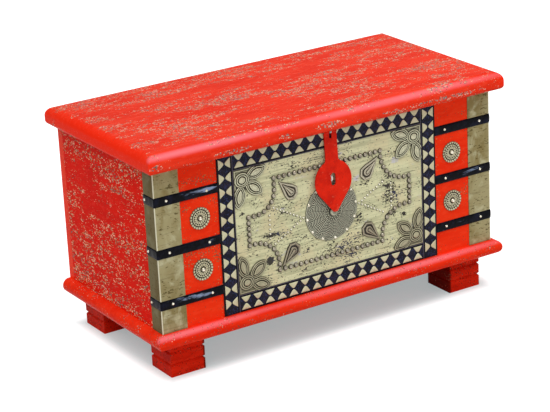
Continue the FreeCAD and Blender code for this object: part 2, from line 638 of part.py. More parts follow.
place(hasp, ("0", HASP_PIN_Y, HASP_PIN_Z), Rotation(Vector(1, 0, 0), -size("hasp_lean")))
piece(hasp, "hasp")
hasp_pin = cylinder("hasp_pin", "sizes.hasp_pin_radius", "sizes.hasp_neck_width",
                    ("-sizes.hasp_neck_width / 2", HASP_PIN_Y, HASP_PIN_Z), ALONG_X)
piece(hasp_pin, "hasp_pin")

# Eye under the lid, in which the hasp's pin turns
eye_ring = cylinder("eye_ring", "sizes.eye_radius", "sizes.eye_thickness",
                    ("-sizes.eye_thickness / 2", HASP_PIN_Y, HASP_PIN_Z), ALONG_X)
eye_shank = cylinder("eye_shank", "sizes.eye_shank_radius",
                     "sizes.hasp_pin_drop + sizes.eye_shank_length", ("0", HASP_PIN_Y, HASP_PIN_Z))
eye_hole = cylinder("eye_hole", "sizes.hasp_pin_radius + sizes.running_clearance",
                    "sizes.eye_thickness + 2", ("-sizes.eye_thickness / 2 - 1", HASP_PIN_Y, HASP_PIN_Z),
                    ALONG_X)
piece(cut("hasp_eye", fuse("eye_solid", [eye_ring, eye_shank]), [eye_hole]), "hasp_eye")

# Brass corner plates, folded round the front corners
BRASS_X = "(" + BOX_X + " + sizes.brass_thickness)"
BRASS_Y = "(" + FRONT_Y + " - sizes.brass_thickness)"
for end, sign in (("left", -1), ("right", 1)):
    label = "brass_corner_" + end
    high = WALL_TOP + " - sizes.brass_gap"
    outer = side_box(label + "_outer", sign, (BOX_X + " - sizes.brass_front_width", BRASS_X),
                     (BRASS_Y, FRONT_Y + " + sizes.brass_side_width"), (BASE_TOP, high))
    inner = side_box(label + "_inner", sign, ("0", BOX_X), (FRONT_Y, "0"), ("0", WALL_TOP + " + 100"))
    piece(cut(label, outer, [inner]), label)

# Iron straps over the brass, stepped down to the wood between the brass and the panel
STRAP_X = "(" + BRASS_X + " + sizes.strap_thickness)"
STRAP_Y = "(" + BRASS_Y + " - sizes.strap_thickness)"
strap_outer_x = box_half + size("brass_thickness") + size("strap_thickness")
strap_outer_y = front_y - size("brass_thickness") - size("strap_thickness")


def strap_outer_edge(edge):
    """Pick the straps' outer long edges and outer corner."""
    bounds = edge.BoundBox
    on_front = abs(bounds.YMax - strap_outer_y) < 1e-4
    on_end = bounds.XLength < 1e-6 and abs(abs(bounds.XMax) - strap_outer_x) < 1e-4
    if bounds.ZLength > 1e-6:
        return on_front and on_end
    return (on_front and bounds.XLength > 1) or (on_end and bounds.YLength > 1)


STRAP_LEVELS = {
    "low": "(" + BASE_TOP + " + sizes.strap_low_level)",
    "middle": "(" + BASE_TOP + " + sizes.strap_low_level + sizes.strap_pitch)",
    "top": "(" + BASE_TOP + " + sizes.strap_low_level + 2 * sizes.strap_pitch)",
}
for end, sign in (("left", -1), ("right", 1)):
    for level, mid in STRAP_LEVELS.items():
        label = "strap_%s_%s" % (end, level)
        z_span = (mid + " - sizes.strap_height / 2", mid + " + sizes.strap_height / 2")
        outer = side_box(label + "_outer", sign, (PANEL_X, STRAP_X),
                         (STRAP_Y, FRONT_Y + " + sizes.brass_side_width"), z_span)
        over_brass = side_box(label + "_brass", sign, (BOX_X + " - sizes.brass_front_width", BRASS_X),
                              (BRASS_Y, "0"), ("0", WALL_TOP))
        over_wood = side_box(label + "_wood", sign, ("0", BOX_X), (FRONT_Y, "0"), ("0", WALL_TOP))
        bent = cut(label + "_bent", outer, [over_brass, over_wood])
        piece(round_edges(label, bent, size("strap_edge_radius"), strap_outer_edge), label)

# Front panel: cream field and four border strips
field = span_box("field_panel", (("-" + FIELD_X, FIELD_X), (FIELD_FACE_Y, FRONT_Y), (FIELD_LOW, FIELD_HIGH)))
piece(field, "field_panel")
BORDER_Y = (FRONT_Y + " - sizes.border_thickness", FRONT_Y)
for end, sign in (("left", -1), ("right", 1)):
    strip = side_box("border_" + end, sign, (FIELD_X, PANEL_X), BORDER_Y, (PANEL_LOW, PANEL_HIGH))
    piece(strip, "border_" + end)
for label, span in (("border_bottom", (PANEL_LOW, FIELD_LOW)), ("border_top", (FIELD_HIGH, PANEL_HIGH))):
    piece(span_box(label, (("-" + FIELD_X, FIELD_X), BORDER_Y, span)), label)

# Rosettes between the straps, scalloped all round
ROSETTE_X = "((" + BOX_X + " - sizes.brass_front_width + " + PANEL_X + ") / 2)"
ROSETTE_LEVELS = {
    "lower": "(" + BASE_TOP + " + sizes.strap_low_level + 0.5 * sizes.strap_pitch)",
    "upper": "(" + BASE_TOP + " + sizes.strap_low_level + 1.5 * sizes.strap_pitch)",
}
for end, sign in (("left", "-"), ("right", "")):
    for level, height in ROSETTE_LEVELS.items():
        label = "rosette_%s_%s" % (end, level)
        plate = doc.addObject("PartDesign::Body", label + "_plate")
        circle_pad(plate, label + "_disc", "sizes.rosette_radius", "0", "sizes.rosette_thickness")
        scallop = circle_pad(plate, label + "_scallop", "sizes.scallop_radius", "sizes.rosette_radius",
                             "sizes.rosette_thickness")
        doc.recompute()
        ring = plate.newObject("PartDesign::PolarPattern", label + "_scallops")
        ring.Originals = [scallop]
        ring.Axis = (origin_feature(plate, "Z_Axis"), [""])
        ring.Angle = 360
        ring.setExpression("Occurrences", "sizes.scallop_count")
        plate.Tip = ring
        band = doc.addObject("Part::Torus", label + "_band")
        band.setExpression("Radius1", "sizes.rosette_ring_radius")
        band.setExpression("Radius2", "sizes.rosette_ring_wire")
        place(band, ("0", "0", "sizes.rosette_thickness"))
        middle = dome(label + "_dome", "sizes.rosette_dome_rise", "sizes.rosette_dome_radius",
                      "sizes.rosette_dome_radius", ("0", "0", "sizes.rosette_thickness"))
        rosette = fuse(label, [plate, band, middle])
        place(rosette, (sign + ROSETTE_X, FRONT_Y, height), FACING_FRONT)
        piece(rosette, label)


# Corner flowers: a boss and three pointed petals, pressed from one plate, larger on a wider field
FRAME_SHARE = "(%s / sizes.frame_field_half)" % FIELD_X
PETAL_LENGTH = "(sizes.petal_length * sqrt(%s))" % FRAME_SHARE
PETAL_WIDTH = "(sizes.petal_width * sqrt(%s))" % FRAME_SHARE
PETAL_REACH = "(sizes.petal_reach * sqrt(%s))" % FRAME_SHARE
FLOWER_BOSS = "(sizes.flower_boss_radius * sqrt(%s))" % FRAME_SHARE
PETAL_CURVE = "((%s ^ 2 + %s ^ 2) / (4 * %s))" % (PETAL_LENGTH, PETAL_WIDTH, PETAL_WIDTH)
PETAL_OFFSET = "(%s - %s / 2)" % (PETAL_CURVE, PETAL_WIDTH)


def petal(name, angle, x_mid, y_mid):
    """Make one pointed petal plate and its dome; angle is in degrees."""
    across_x = -math.sin(math.radians(angle))
    across_y = math.cos(math.radians(angle))
    arcs = []
    for number, sign in enumerate((1, -1)):
        x = "%s + %r * %s" % (x_mid, sign * across_x, PETAL_OFFSET)
        y = "%s + %r * %s" % (y_mid, sign * across_y, PETAL_OFFSET)
        arcs.append(cylinder("%s_arc_%d" % (name, number), PETAL_CURVE, "sizes.flower_plate", (x, y, "0")))
    leaf = common(name + "_leaf", arcs)
    swell = dome(name + "_swell", "sizes.flower_dome_rise", PETAL_LENGTH + " * 0.32",
                 PETAL_WIDTH + " * 0.28", (x_mid, y_mid, "sizes.flower_plate"),
                 Rotation(Vector(0, 0, 1), angle))
    return [leaf, swell]


FLOWER_CORNERS = {
    "top_left": (-1, 1),
    "top_right": (1, 1),
    "bottom_left": (-1, -1),
    "bottom_right": (1, -1),
}
EDGE_PETAL_TILT = 18
SIDE_PETAL_TILT = 12
PETAL_DIRECTIONS = (("edge", -EDGE_PETAL_TILT), ("diagonal", 38), ("side", 90 + SIDE_PETAL_TILT))


def flower_reach(tilt):
    """Return how far the boss stands in from an edge so that the tilted petal stays clear of it."""
    lean = math.sin(math.radians(tilt))
    level = math.cos(math.radians(tilt))
    return "(sizes.flower_margin + %r * %s + %s - %r * %s)" % (
        lean, PETAL_REACH, PETAL_CURVE, level, PETAL_OFFSET)


for corner, (side, rise) in FLOWER_CORNERS.items():
    label = "corner_flower_" + corner
    plate = cylinder(label + "_boss", FLOWER_BOSS, "sizes.flower_plate", ("0", "0", "0"))
    swell = dome(label + "_dome", "sizes.flower_dome_rise", FLOWER_BOSS + " * 0.6",
                 FLOWER_BOSS + " * 0.72", ("0", "0", "sizes.flower_plate"))
    shapes = [plate, swell]
    for name, direction in PETAL_DIRECTIONS:
        inward_x = math.cos(math.radians(direction))
        inward_y = math.sin(math.radians(direction))
        angle = math.degrees(math.atan2(-rise * inward_y, -side * inward_x))
        x_mid = "%r * %s" % (-side * inward_x, PETAL_REACH)
        y_mid = "%r * %s" % (-rise * inward_y, PETAL_REACH)
        shapes += petal("%s_%s" % (label, name), angle, x_mid, y_mid)
    flower = fuse(label, shapes)
    x_place = "%d * (%s - %s)" % (side, FIELD_X, flower_reach(SIDE_PETAL_TILT))
    edge = FIELD_HIGH if rise > 0 else FIELD_LOW
    z_place = "%s - %d * %s" % (edge, rise, flower_reach(EDGE_PETAL_TILT))
    place(flower, (x_place, FIELD_FACE_Y, z_place), FACING_FRONT)
    piece(flower, label)

# Teardrops that point from the middle to the corners of the nail frame, as large as the space there
TIP_X = "(%s - sizes.frame_side_margin * %s - sizes.drop_tip_gap)" % (FIELD_X, FRAME_SHARE)
TIP_Z = "(%s - sizes.frame_row_margin - sizes.drop_tip_drop - %s)" % (FIELD_HIGH, FIELD_MID)
DROP_SCALE = "sqrt((sqrt(%s ^ 2 + %s ^ 2) - sizes.disc_radius) / sizes.drop_space)" % (TIP_X, TIP_Z)
DROP_LENGTH = "(sizes.drop_length * %s)" % DROP_SCALE
DROP_RADIUS = "(sizes.drop_radius * %s)" % DROP_SCALE
DROP_CORE = "(sizes.drop_core_radius * %s)" % DROP_SCALE
DROP_SINE = "(sizes.drop_radius / sizes.drop_length)"
DROP_SHOULDER = "(%s * sqrt(1 - %s ^ 2))" % (DROP_RADIUS, DROP_SINE)
DROP_START = "(%s * %s)" % (DROP_RADIUS, DROP_SINE)
DIAGONAL = "%s * sqrt(0.5)" % DROP_LENGTH
for corner, (side, rise) in FLOWER_CORNERS.items():
    label = "teardrop_" + corner
    blob = cylinder(label + "_round", DROP_RADIUS, "sizes.drop_plate", ("0", "0", "0"))
    tail = doc.addObject("Part::Wedge", label + "_tail")
    tail.Ymin = 0
    tail.Ymax = 10
    for prop, expression in (
            ("Xmin", "-" + DROP_SHOULDER), ("Xmax", DROP_SHOULDER),
            ("X2min", "-sizes.drop_tip_half"), ("X2max", "sizes.drop_tip_half"),
            ("Zmin", "0"), ("Zmax", "sizes.drop_plate"), ("Z2min", "0"), ("Z2max", "sizes.drop_plate"),
            ("Ymax", "%s - %s" % (DROP_LENGTH, DROP_START))):
        tail.setExpression(prop, expression)
    place(tail, ("0", DROP_START, "0"))
    core = doc.addObject("Part::Cone", label + "_core")
    core.setExpression("Radius1", DROP_CORE)
    core.setExpression("Radius2", "sizes.drop_tip_half * 0.6")
    core.setExpression("Height", DROP_LENGTH + " * 0.8")
    place(core, ("0", "0", "sizes.drop_plate"), Rotation(Vector(1, 0, 0), -90))
    bead = doc.addObject("Part::Sphere", label + "_bead")
    bead.setExpression("Radius", DROP_CORE)
    place(bead, ("0", "0", "sizes.drop_plate"))
    upper = span_box(label + "_upper", (("-100", "100"), ("-100", "100"), ("0", "100")))
    ridge = common(label + "_ridge", [fuse(label + "_ridge_solid", [core, bead]), upper])
    drop = fuse(label, [blob, tail, ridge])
    turn = Rotation(Vector(0, 0, 1), math.degrees(math.atan2(rise, side)) - 90)
    stray = " + sizes.drop_left_stray * " + FRAME_SHARE if side < 0 else ""
    place(drop, ("%d * (%s%s - %s)" % (side, TIP_X, stray, DIAGONAL), FIELD_FACE_Y,
                 "%s + %d * (%s - %s)" % (DISC_MID, rise, TIP_Z, DIAGONAL)), FACING_FRONT.multiply(turn))
    piece(drop, label)

# Round disc with a shallow dome and a boss on which the hasp's tip rests
rim = cylinder("disc_rim_plate", "sizes.disc_radius", "sizes.disc_rim", ("0", "0", "0"))
shield = dome("disc_shield", "sizes.disc_dome_rise", "sizes.disc_radius - sizes.disc_dome_margin",
              "sizes.disc_radius - sizes.disc_dome_margin", ("0", "0", "sizes.disc_rim"))
HASP_BACK = "(sizes.hasp_pin_reach - sizes.field_thickness"
HASP_BACK += " + (%s - %s) * tan(sizes.hasp_lean * 1 deg)" % (HASP_PIN_Z, DISC_MID)
HASP_BACK += " - sizes.hasp_thickness / (2 * cos(sizes.hasp_lean * 1 deg)))"
boss_height = "(" + HASP_BACK + " - sizes.rest_clearance - sizes.disc_boss_cap)"
boss = cylinder("disc_boss", "sizes.disc_boss_radius", boss_height, ("0", "0", "0"))
boss_cap = dome("disc_boss_top", "sizes.disc_boss_cap", "sizes.disc_boss_radius", "sizes.disc_boss_radius",
                ("0", "0", boss_height))
disc = fuse("centre_disc", [rim, shield, boss, boss_cap])
place(disc, ("0", FIELD_FACE_Y, DISC_MID), FACING_FRONT)
piece(disc, "centre_disc")

# Low staple behind the hasp's slot
STAPLE_Z = "(%s - sizes.hasp_slot_drop * cos(sizes.hasp_lean * 1 deg))" % HASP_PIN_Z
bow_level = "(sizes.staple_rise - sizes.staple_half_span - sizes.staple_wire_radius)"
bow = doc.addObject("Part::Torus", "staple_bow")
bow.setExpression("Radius1", "sizes.staple_half_span")
bow.setExpression("Radius2", "sizes.staple_wire_radius")
bow.Angle3 = 180
place(bow, ("0", "0", bow_level), Rotation(Vector(0, 1, 0), 90).multiply(Rotation(Vector(0, 0, 1), 90)))
legs = []
for name, sign in (("low", "-"), ("high", "")):
    legs.append(cylinder("staple_leg_" + name, "sizes.staple_wire_radius",
                         bow_level + " + sizes.staple_leg_length",
                         ("0", sign + "sizes.staple_half_span", "-sizes.staple_leg_length")))
staple = fuse("staple", [bow] + legs)
place(staple, ("0", FIELD_FACE_Y, STAPLE_Z), FACING_FRONT)
piece(staple, "staple")

# Domed nails, in groups
shank_radius = size("nail_shank_radius")
shank_length = size("nail_shank_length")
base_top = size("foot_height") + size("base_thickness")
field_y = front_y - size("field_thickness")
panel_half = box_half - size("brass_front_width") - size("panel_side_gap")
field_half = panel_half - size("border_width")
field_low = base_top + size("panel_bottom_gap") + size("border_width")
field_high = wall_top - size("panel_top_gap") - size("border_width")
field_mid = (field_low + field_high) / 2

strap_nail = nail(size("strap_nail_radius"), size("strap_nail_rise"), shank_radius, shank_length)
strap_nails = []
for step in range(3):
    height = base_top + size("strap_low_level") + step * size("strap_pitch")
    for sign in (-1, 1):
        for x in (panel_half + size("strap_nail_inset"), box_half - size("strap_nail_inset")):
            strap_nails.append(moved(strap_nail, Vector(sign * x, strap_outer_y, height)))
        side_y = front_y + size("brass_side_width") - size("strap_nail_side_inset")
        turn = Rotation(Vector(0, 0, 1), 90 * sign)
        strap_nails.append(moved(strap_nail, Vector(sign * strap_outer_x, side_y, height), turn))
group("strap_nails", strap_nails)

rosette_nail = nail(size("rosette_nail_radius"), size("rosette_nail_rise"), shank_radius, shank_length)
rosette_top = front_y - size("rosette_thickness") - size("rosette_dome_rise") + 0.4
rosette_nails = []
for step in (0.5, 1.5):
    height = base_top + size("strap_low_level") + step * size("strap_pitch")
    for sign in (-1, 1):
        x = (box_half - size("brass_front_width") + panel_half) / 2
        rosette_nails.append(moved(rosette_nail, Vector(sign * x, rosette_top, height)))
group("rosette_nails", rosette_nails)


def spaced(line, pitch):
    """Return points at even steps, close to a pitch, along a line of points, both ends included."""
    lengths = [math.dist(a, b) for a, b in zip(line, line[1:])]
    total = sum(lengths)
    count = max(1, round(total / pitch))
    found = []
    for step in range(count + 1):
        left = total * step / count
        index = 0
        while index < len(lengths) - 1 and left > lengths[index]:
            left -= lengths[index]
            index += 1
        share = left / lengths[index]
        a, b = line[index], line[index + 1]
        found.append((a[0] + (b[0] - a[0]) * share, a[1] + (b[1] - a[1]) * share))
    return found


frame_share = field_half / size("frame_field_half")
frame_side = field_half - size("frame_side_margin") * frame_share
frame_row = field_high - size("frame_row_margin") - field_mid
bump_side = field_half - size("frame_bump_margin") * frame_share
bump_half = size("frame_bump_half")


def frame_quarter(side, bump, radius):
    """Return the line from a corner of the nail frame to its bump, as seen in the upper right quarter."""
    curve = min(radius * frame_share, bump - side, frame_row - bump_half)
    line = [(side, frame_row)]
    for step in range(25):
        angle = math.radians(180 + 90 * step / 24)
        line.append((side + curve + curve * math.cos(angle), bump_half + curve + curve * math.sin(angle)))
    return line + [(bump, bump_half)]


top_left = frame_side + size("frame_top_left_stray") * frame_share
bottom_left = frame_side + size("frame_bottom_left_stray") * frame_share
right_bump = bump_side - size("frame_right_bump_stray") * frame_share
pitch = size("frame_nail_pitch")
frame_points = spaced([(-top_left, frame_row), (frame_side, frame_row)], pitch)
frame_points += spaced([(-bottom_left, -frame_row), (frame_side, -frame_row)], pitch)
for x in (-bump_side, right_bump):
    frame_points += spaced([(x, -bump_half), (x, bump_half)], pitch)
for sign, rise, side, bump, radius in (
        (-1, 1, top_left, bump_side, size("frame_top_left_curve")),
        (1, 1, frame_side, right_bump, size("frame_top_right_curve")),
        (-1, -1, bottom_left, bump_side, size("frame_low_curve")),
        (1, -1, frame_side, right_bump, size("frame_low_curve"))):
    line = frame_quarter(side, bump, radius)
    frame_points += [(sign * x, rise * z) for x, z in spaced(line, pitch)[1:-1]]
frame_nail = nail(size("frame_nail_radius"), size("frame_nail_rise"), shank_radius, shank_length)
frame_mid = field_mid - size("frame_drop")
frame_nails = [moved(frame_nail, Vector(x, field_y, frame_mid + z)) for x, z in frame_points]
group("frame_nails", frame_nails)

dot_nail = nail(size("dot_nail_radius"), size("dot_nail_rise"), shank_radius * 0.7, shank_length)
fan_start = size("disc_radius") + 2 * size("dot_nail_radius")
column_x = bump_side - size("dot_column_margin") * frame_share
fan_end = column_x - size("dot_column_gap") * frame_share
fan_rise = size("dot_fan_rise") * math.sqrt(frame_share)
column = size("dot_column_half")
disc_mid = field_mid - size("disc_drop")
dot_nails = []
for sign, share in ((-1, 1), (1, size("dot_right_share"))):
    tip = fan_start + (fan_end - fan_start) * share
    rise = fan_rise * share
    dots = spaced([(fan_start, 0), (tip, rise)], size("dot_nail_pitch"))
    dots += spaced([(fan_start, 0), (tip, -rise)], size("dot_nail_pitch"))[1:]
    dots += spaced([(column_x, column), (column_x, -column)], size("dot_nail_pitch"))
    dot_nails += [moved(dot_nail, Vector(sign * x, field_y, disc_mid + z)) for x, z in dots]
group("dot_nails", dot_nails)

disc_nail = nail(size("disc_nail_radius"), size("disc_nail_rise"), shank_radius, shank_length)
disc_nails = []
nail_ring = size("disc_radius") - size("disc_nail_inset")
nail_count = int(round(size("disc_nail_count")))
for step in range(nail_count):
    angle = math.radians(size("disc_nail_turn") + 360 * step / nail_count)
    position = Vector(nail_ring * math.cos(angle), field_y - size("disc_rim"),
                      disc_mid + nail_ring * math.sin(angle))
    disc_nails.append(moved(disc_nail, position))
group("disc_nails", disc_nails)

# Hidden dowels that hold the boards and the feet together
dowel_radius = size("dowel_radius")
dowel_length = size("dowel_length")
half_wall = size("wall_thickness") / 2
inset = size("dowel_inset")
upright = Part.makeCylinder(dowel_radius, dowel_length, Vector(0, 0, -dowel_length / 2), Vector(0, 0, 1))
level = Part.makeCylinder(dowel_radius, dowel_length, Vector(0, -dowel_length / 2, 0), Vector(0, 1, 0))
wall_dowels = []
for x in (-(box_half - inset), box_half - inset):
    for y in (front_y + half_wall, back_y - half_wall):
        wall_dowels.append(moved(upright, Vector(x, y, base_top)))
for x in (-(box_half - half_wall), box_half - half_wall):
    for y in (front_y + half_wall * 2 + inset, back_y - half_wall * 2 - inset):
        wall_dowels.append(moved(upright, Vector(x, y, base_top)))
group("wall_dowels", wall_dowels)
foot_dowels = []
foot_x = box_half - size("foot_end_inset") - size("foot_width") / 2
for x in (-foot_x, foot_x):
    for y in (front_y + size("foot_front_inset") + size("foot_depth") / 2,
              back_y - size("foot_rear_inset") - size("foot_depth") / 2):
        for shift in (-size("foot_width") / 4, size("foot_width") / 4):
            foot_dowels.append(moved(upright, Vector(x + shift, y, size("foot_height"))))
group("foot_dowels", foot_dowels)
corner_dowels = []
seam = base_top + size("seam_height")
heights = (base_top + size("corner_dowel_inset"), seam - size("corner_dowel_inset"), (seam + wall_top) / 2)
for x in (-(box_half - half_wall), box_half - half_wall):
    for y in (front_y + 2 * half_wall, back_y - 2 * half_wall):
        for height in heights:
            corner_dowels.append(moved(level, Vector(x, y, height)))
group("corner_dowels", corner_dowels)

# Check every object and every piece, then write the pieces
doc.recompute()
for obj in doc.Objects:
    if "Invalid" in obj.State or "Error" in obj.State:
        raise RuntimeError("%s failed: %s" % (obj.Label, obj.State))
for obj in PIECES:
    if obj.Shape.isNull() or not obj.Shape.isValid():
        raise RuntimeError("%s has no sound shape" % obj.Label)
os.makedirs("parts", exist_ok=True)
for obj in PIECES:
    obj.Shape.exportStep("parts/%s.step" % obj.Label)
    print("%-28s solids %3d  volume %12.1f" % (obj.Label, len(obj.Shape.Solids), obj.Shape.Volume))
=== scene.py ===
"""Looks of the red storage chest: worn paint, metal dressing, pressed ornaments, light and camera."""

import logging
import math
from collections.abc import Callable, Sequence
from dataclasses import dataclass
from enum import Enum

import bpy
import numpy as np
from mathutils import Matrix, Vector


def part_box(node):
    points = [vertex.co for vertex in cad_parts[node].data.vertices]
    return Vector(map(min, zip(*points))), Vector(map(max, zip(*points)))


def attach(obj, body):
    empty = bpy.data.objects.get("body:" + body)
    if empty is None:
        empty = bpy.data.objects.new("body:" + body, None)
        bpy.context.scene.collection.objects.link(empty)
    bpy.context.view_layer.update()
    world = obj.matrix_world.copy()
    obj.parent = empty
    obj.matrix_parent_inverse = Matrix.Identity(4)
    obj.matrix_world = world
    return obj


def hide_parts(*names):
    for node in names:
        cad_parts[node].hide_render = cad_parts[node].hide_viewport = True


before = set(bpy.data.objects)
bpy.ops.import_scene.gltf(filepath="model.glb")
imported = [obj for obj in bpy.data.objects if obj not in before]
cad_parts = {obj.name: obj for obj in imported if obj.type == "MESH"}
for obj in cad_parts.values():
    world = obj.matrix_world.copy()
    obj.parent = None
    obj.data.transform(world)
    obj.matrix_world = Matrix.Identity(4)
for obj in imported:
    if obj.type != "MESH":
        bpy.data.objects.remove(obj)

LOG = logging.getLogger("chest")
MM = 0.001
# The level of new pieces' backs, in millimetres: just inside the face that carries them.
BACK_LEVEL = -0.1

Colour = tuple[int, int, int]
Pair = tuple[float, float]
Triple = tuple[float, float, float]
Face = tuple[int, ...]
Array = np.ndarray
Outline = Callable[[Array], Array]
Heights = Callable[[Array, Array], Array]
Material = bpy.types.Material
Socket = bpy.types.NodeSocket
Feed = bpy.types.NodeSocket | float | Colour

EVEN: Triple = (1.0, 1.0, 1.0)
UNMOVED: Triple = (0.0, 0.0, 0.0)


class Grain(Enum):
    """The way that grain and brush strokes run, as a stretch of the pattern along x, y and z."""

    LENGTH = (0.34, 1.0, 1.0)
    DEPTH = (1.0, 0.36, 1.0)


class Run(Enum):
    """The way that a border strip runs."""

    UPRIGHT = "upright"
    LEVEL = "level"


def linear(colour: Colour) -> tuple[float, float, float, float]:
    """Turn a colour written in steps of 0 to 255 into linear values.

    Args:
        colour: Red, green and blue as they look on a screen.

    Returns:
        Linear red, green, blue and full opacity.
    """
    parts = []
    for step in colour:
        share = step / 255
        parts.append(share / 12.92 if share <= 0.04045 else ((share + 0.055) / 1.055) ** 2.4)
    return (parts[0], parts[1], parts[2], 1.0)


@dataclass(frozen=True)
class Rub:
    """A place where a finish is worn, given a painted highlight, painted light or painted shade, or, below
    0, spared.
    """

    middle: Triple
    reach: Triple
    strength: float


def mirrored(rub: Rub) -> tuple[Rub, Rub]:
    """Return a rub and its mirror image at the chest's other end."""
    x, y, z = rub.middle
    return rub, Rub((-x, y, z), rub.reach, rub.strength)


def face_rubs(y: float, *rows: tuple[float, float, float, float, float]) -> tuple[Rub, ...]:
    """Place rubs on an upright face.

    Args:
        y: The face's place, front to back.
        rows: Each rub's x and z, its reach along x and z, and its strength.

    Returns:
        The rubs.
    """
    through = 0.02
    return tuple(Rub((x, y, z), (wide, through, high), strength) for x, z, wide, high, strength in rows)


class FinishTree:
    """A material and short methods for the nodes that the finishes are made of."""

    def __init__(self, name: str) -> None:
        """Start a material with one shader.

        Args:
            name: The material's name.
        """
        self.material = bpy.data.materials.new(name)
        self.material.use_nodes = True
        self.nodes = self.material.node_tree.nodes
        self.links = self.material.node_tree.links
        self.nodes.clear()
        self.shader = self.nodes.new("ShaderNodeBsdfPrincipled")
        self.make("OutputMaterial", {"Surface": self.shader.outputs["BSDF"]})
        self.place = self.nodes.new("ShaderNodeTexCoord").outputs["Object"]

    def feed(self, socket: Socket, value: Feed) -> None:
        """Link a socket to another one, or set it.

        Args:
            socket: The socket that is fed.
            value: Another socket, a number or a colour.
        """
        if isinstance(value, bpy.types.NodeSocket):
            self.links.new(value, socket)
        else:
            socket.default_value = linear(value) if isinstance(value, tuple) else value

    def make(self, kind: str, inputs: dict[int | str, Feed], **settings: str | int) -> bpy.types.Node:
        """Add a node.

        Args:
            kind: The node's type, without the words that every shader node starts with.
            inputs: What feeds its sockets, by name or number.
            settings: Its other settings.

        Returns:
            The node.
        """
        node = self.nodes.new("ShaderNode" + kind)
        for setting, choice in settings.items():
            setattr(node, setting, choice)
        for socket, value in inputs.items():
            self.feed(node.inputs[socket], value)
        return node

    def stretched(self, stretch: Triple, shift: Triple = UNMOVED) -> Socket:
        """Stretch and move the coordinates of the place on the object.

        Args:
            stretch: How many times closer a pattern lies along x, y and z.
            shift: How far it is then moved.

        Returns:
            The coordinates.
        """
        if (stretch, shift) == (EVEN, UNMOVED):
            return self.place
        node = self.make("Mapping", {"Vector": self.place})
        node.inputs["Scale"].default_value = stretch
        node.inputs["Location"].default_value = shift
        return node.outputs["Vector"]

    def noise(self, scale: float, detail: float = 2.0, rough: float = 0.5, twist: float = 0.0,
              stretch: Triple = EVEN, shift: Triple = UNMOVED) -> Socket:
        """Make a cloudy pattern.

        Args:
            scale: Clouds per metre.
            detail: Finer layers laid over it.
            rough: Share of each finer layer.
            twist: How far the clouds are pulled out of shape.
            stretch: How many times closer it lies along x, y and z.
            shift: How far it is moved, so that two patterns differ.

        Returns:
            A socket of about 0.25 to 0.75, with its middle at a half.
        """
        where = self.stretched(stretch, shift)
        node = self.make("TexNoise", {"Vector": where, "Scale": scale, "Detail": detail, "Roughness": rough,
                                      "Distortion": twist})
        return node.outputs["Fac"]

    def dots(self, scale: float, stretch: Triple) -> tuple[Socket, Socket, Socket]:
        """Scatter points.

        Args:
            scale: Points per metre.
            stretch: How many times closer they lie along x, y and z.

        Returns:
            The distance to the nearest point in point spacings, and two chance values of that point.
        """
        node = self.make("TexVoronoi", {"Vector": self.stretched(stretch), "Scale": scale})
        split = self.make("SeparateColor", {0: node.outputs["Color"]})
        return node.outputs["Distance"], split.outputs[0], split.outputs[1]

    def math(self, kind: str, first: Feed, second: Feed = 0.0) -> Socket:
        """Return a sum, product or other result of two values."""
        return self.make("Math", {0: first, 1: second}, operation=kind).outputs[0]

    def plus(self, first: Feed, second: Feed, share: float) -> Socket:
        """Return the first value plus a share of the second."""
        return self.math("ADD", first, self.math("MULTIPLY", second, share))

    def swing(self, value: Socket, share: float, middle: float = 0.5) -> Socket:
        """Return a share of how far a value lies above its middle."""
        return self.math("MULTIPLY", self.math("SUBTRACT", value, middle), share)

    def rise(self, value: Socket, low: float, high: float, start: float = 0.0, end: float = 1.0) -> Socket:
        """Make a smooth step.

        Args:
            value: What it follows.
            low: The value at which it starts.
            high: The value at which it ends.
            start: What it gives up to low.
            end: What it gives from high on.

        Returns:
            The step.
        """
        node = self.make("MapRange", {"Value": value, "From Min": low, "From Max": high, "To Min": start,
                                      "To Max": end}, interpolation_type="SMOOTHSTEP")
        return node.outputs["Result"]

    def shine(self, clouds: Socket, low: float, high: float) -> Socket:
        """Return a roughness that goes from low to high over most of a cloudy pattern's range."""
        return self.rise(clouds, 0.3, 0.7, low, high)

    def blend(self, share: Feed, first: Socket | Colour, second: Socket | Colour) -> Socket:
        """Return the first colour with a share of the second laid over it."""
        return self.make("Mix", {"Factor": share, 6: first, 7: second}, data_type="RGBA").outputs[2]

    def lay(self, under: Socket | Colour, over: Socket | Colour, value: Socket, low: float, high: float,
            share: float = 1.0) -> Socket:
        """Lay a colour over another where a pattern is strong.

        Args:
            under: The colour below.
            over: The colour that is laid over it.
            value: The pattern.
            low: The pattern's value at which the upper colour starts.
            high: The value from which it is at its full share.
            share: Its full share.

        Returns:
            The blended colour.
        """
        return self.blend(self.rise(value, low, high, 0.0, share), under, over)

    def axes(self) -> tuple[Socket, Socket, Socket]:
        """Return x, y and z of the place on the object, in metres."""
        split = self.make("SeparateXYZ", {0: self.place})
        return split.outputs[0], split.outputs[1], split.outputs[2]

    def near(self, rub: Rub) -> Socket:
        """Mark out a rub.

        Args:
            rub: Its place, reach and strength.

        Returns:
            Its strength round the middle, falling to 0 at its reach.
        """
        full_share = 0.15
        move = tuple(-middle / reach for middle, reach in zip(rub.middle, rub.reach))
        scaled = self.stretched(tuple(1 / reach for reach in rub.reach), move)
        away = self.make("VectorMath", {0: scaled}, operation="LENGTH").outputs["Value"]
        return self.rise(away, full_share, 1.0, rub.strength, 0.0)

    def rubbed(self, value: Socket, rubs: Sequence[Rub]) -> Socket:
        """Add rubs to a pattern.

        Args:
            value: The pattern.
            rubs: Where it is made stronger or weaker.

        Returns:
            The pattern with the rubs in it.
        """
        for rub in rubs:
            value = self.math("ADD", value, self.near(rub))
        return value

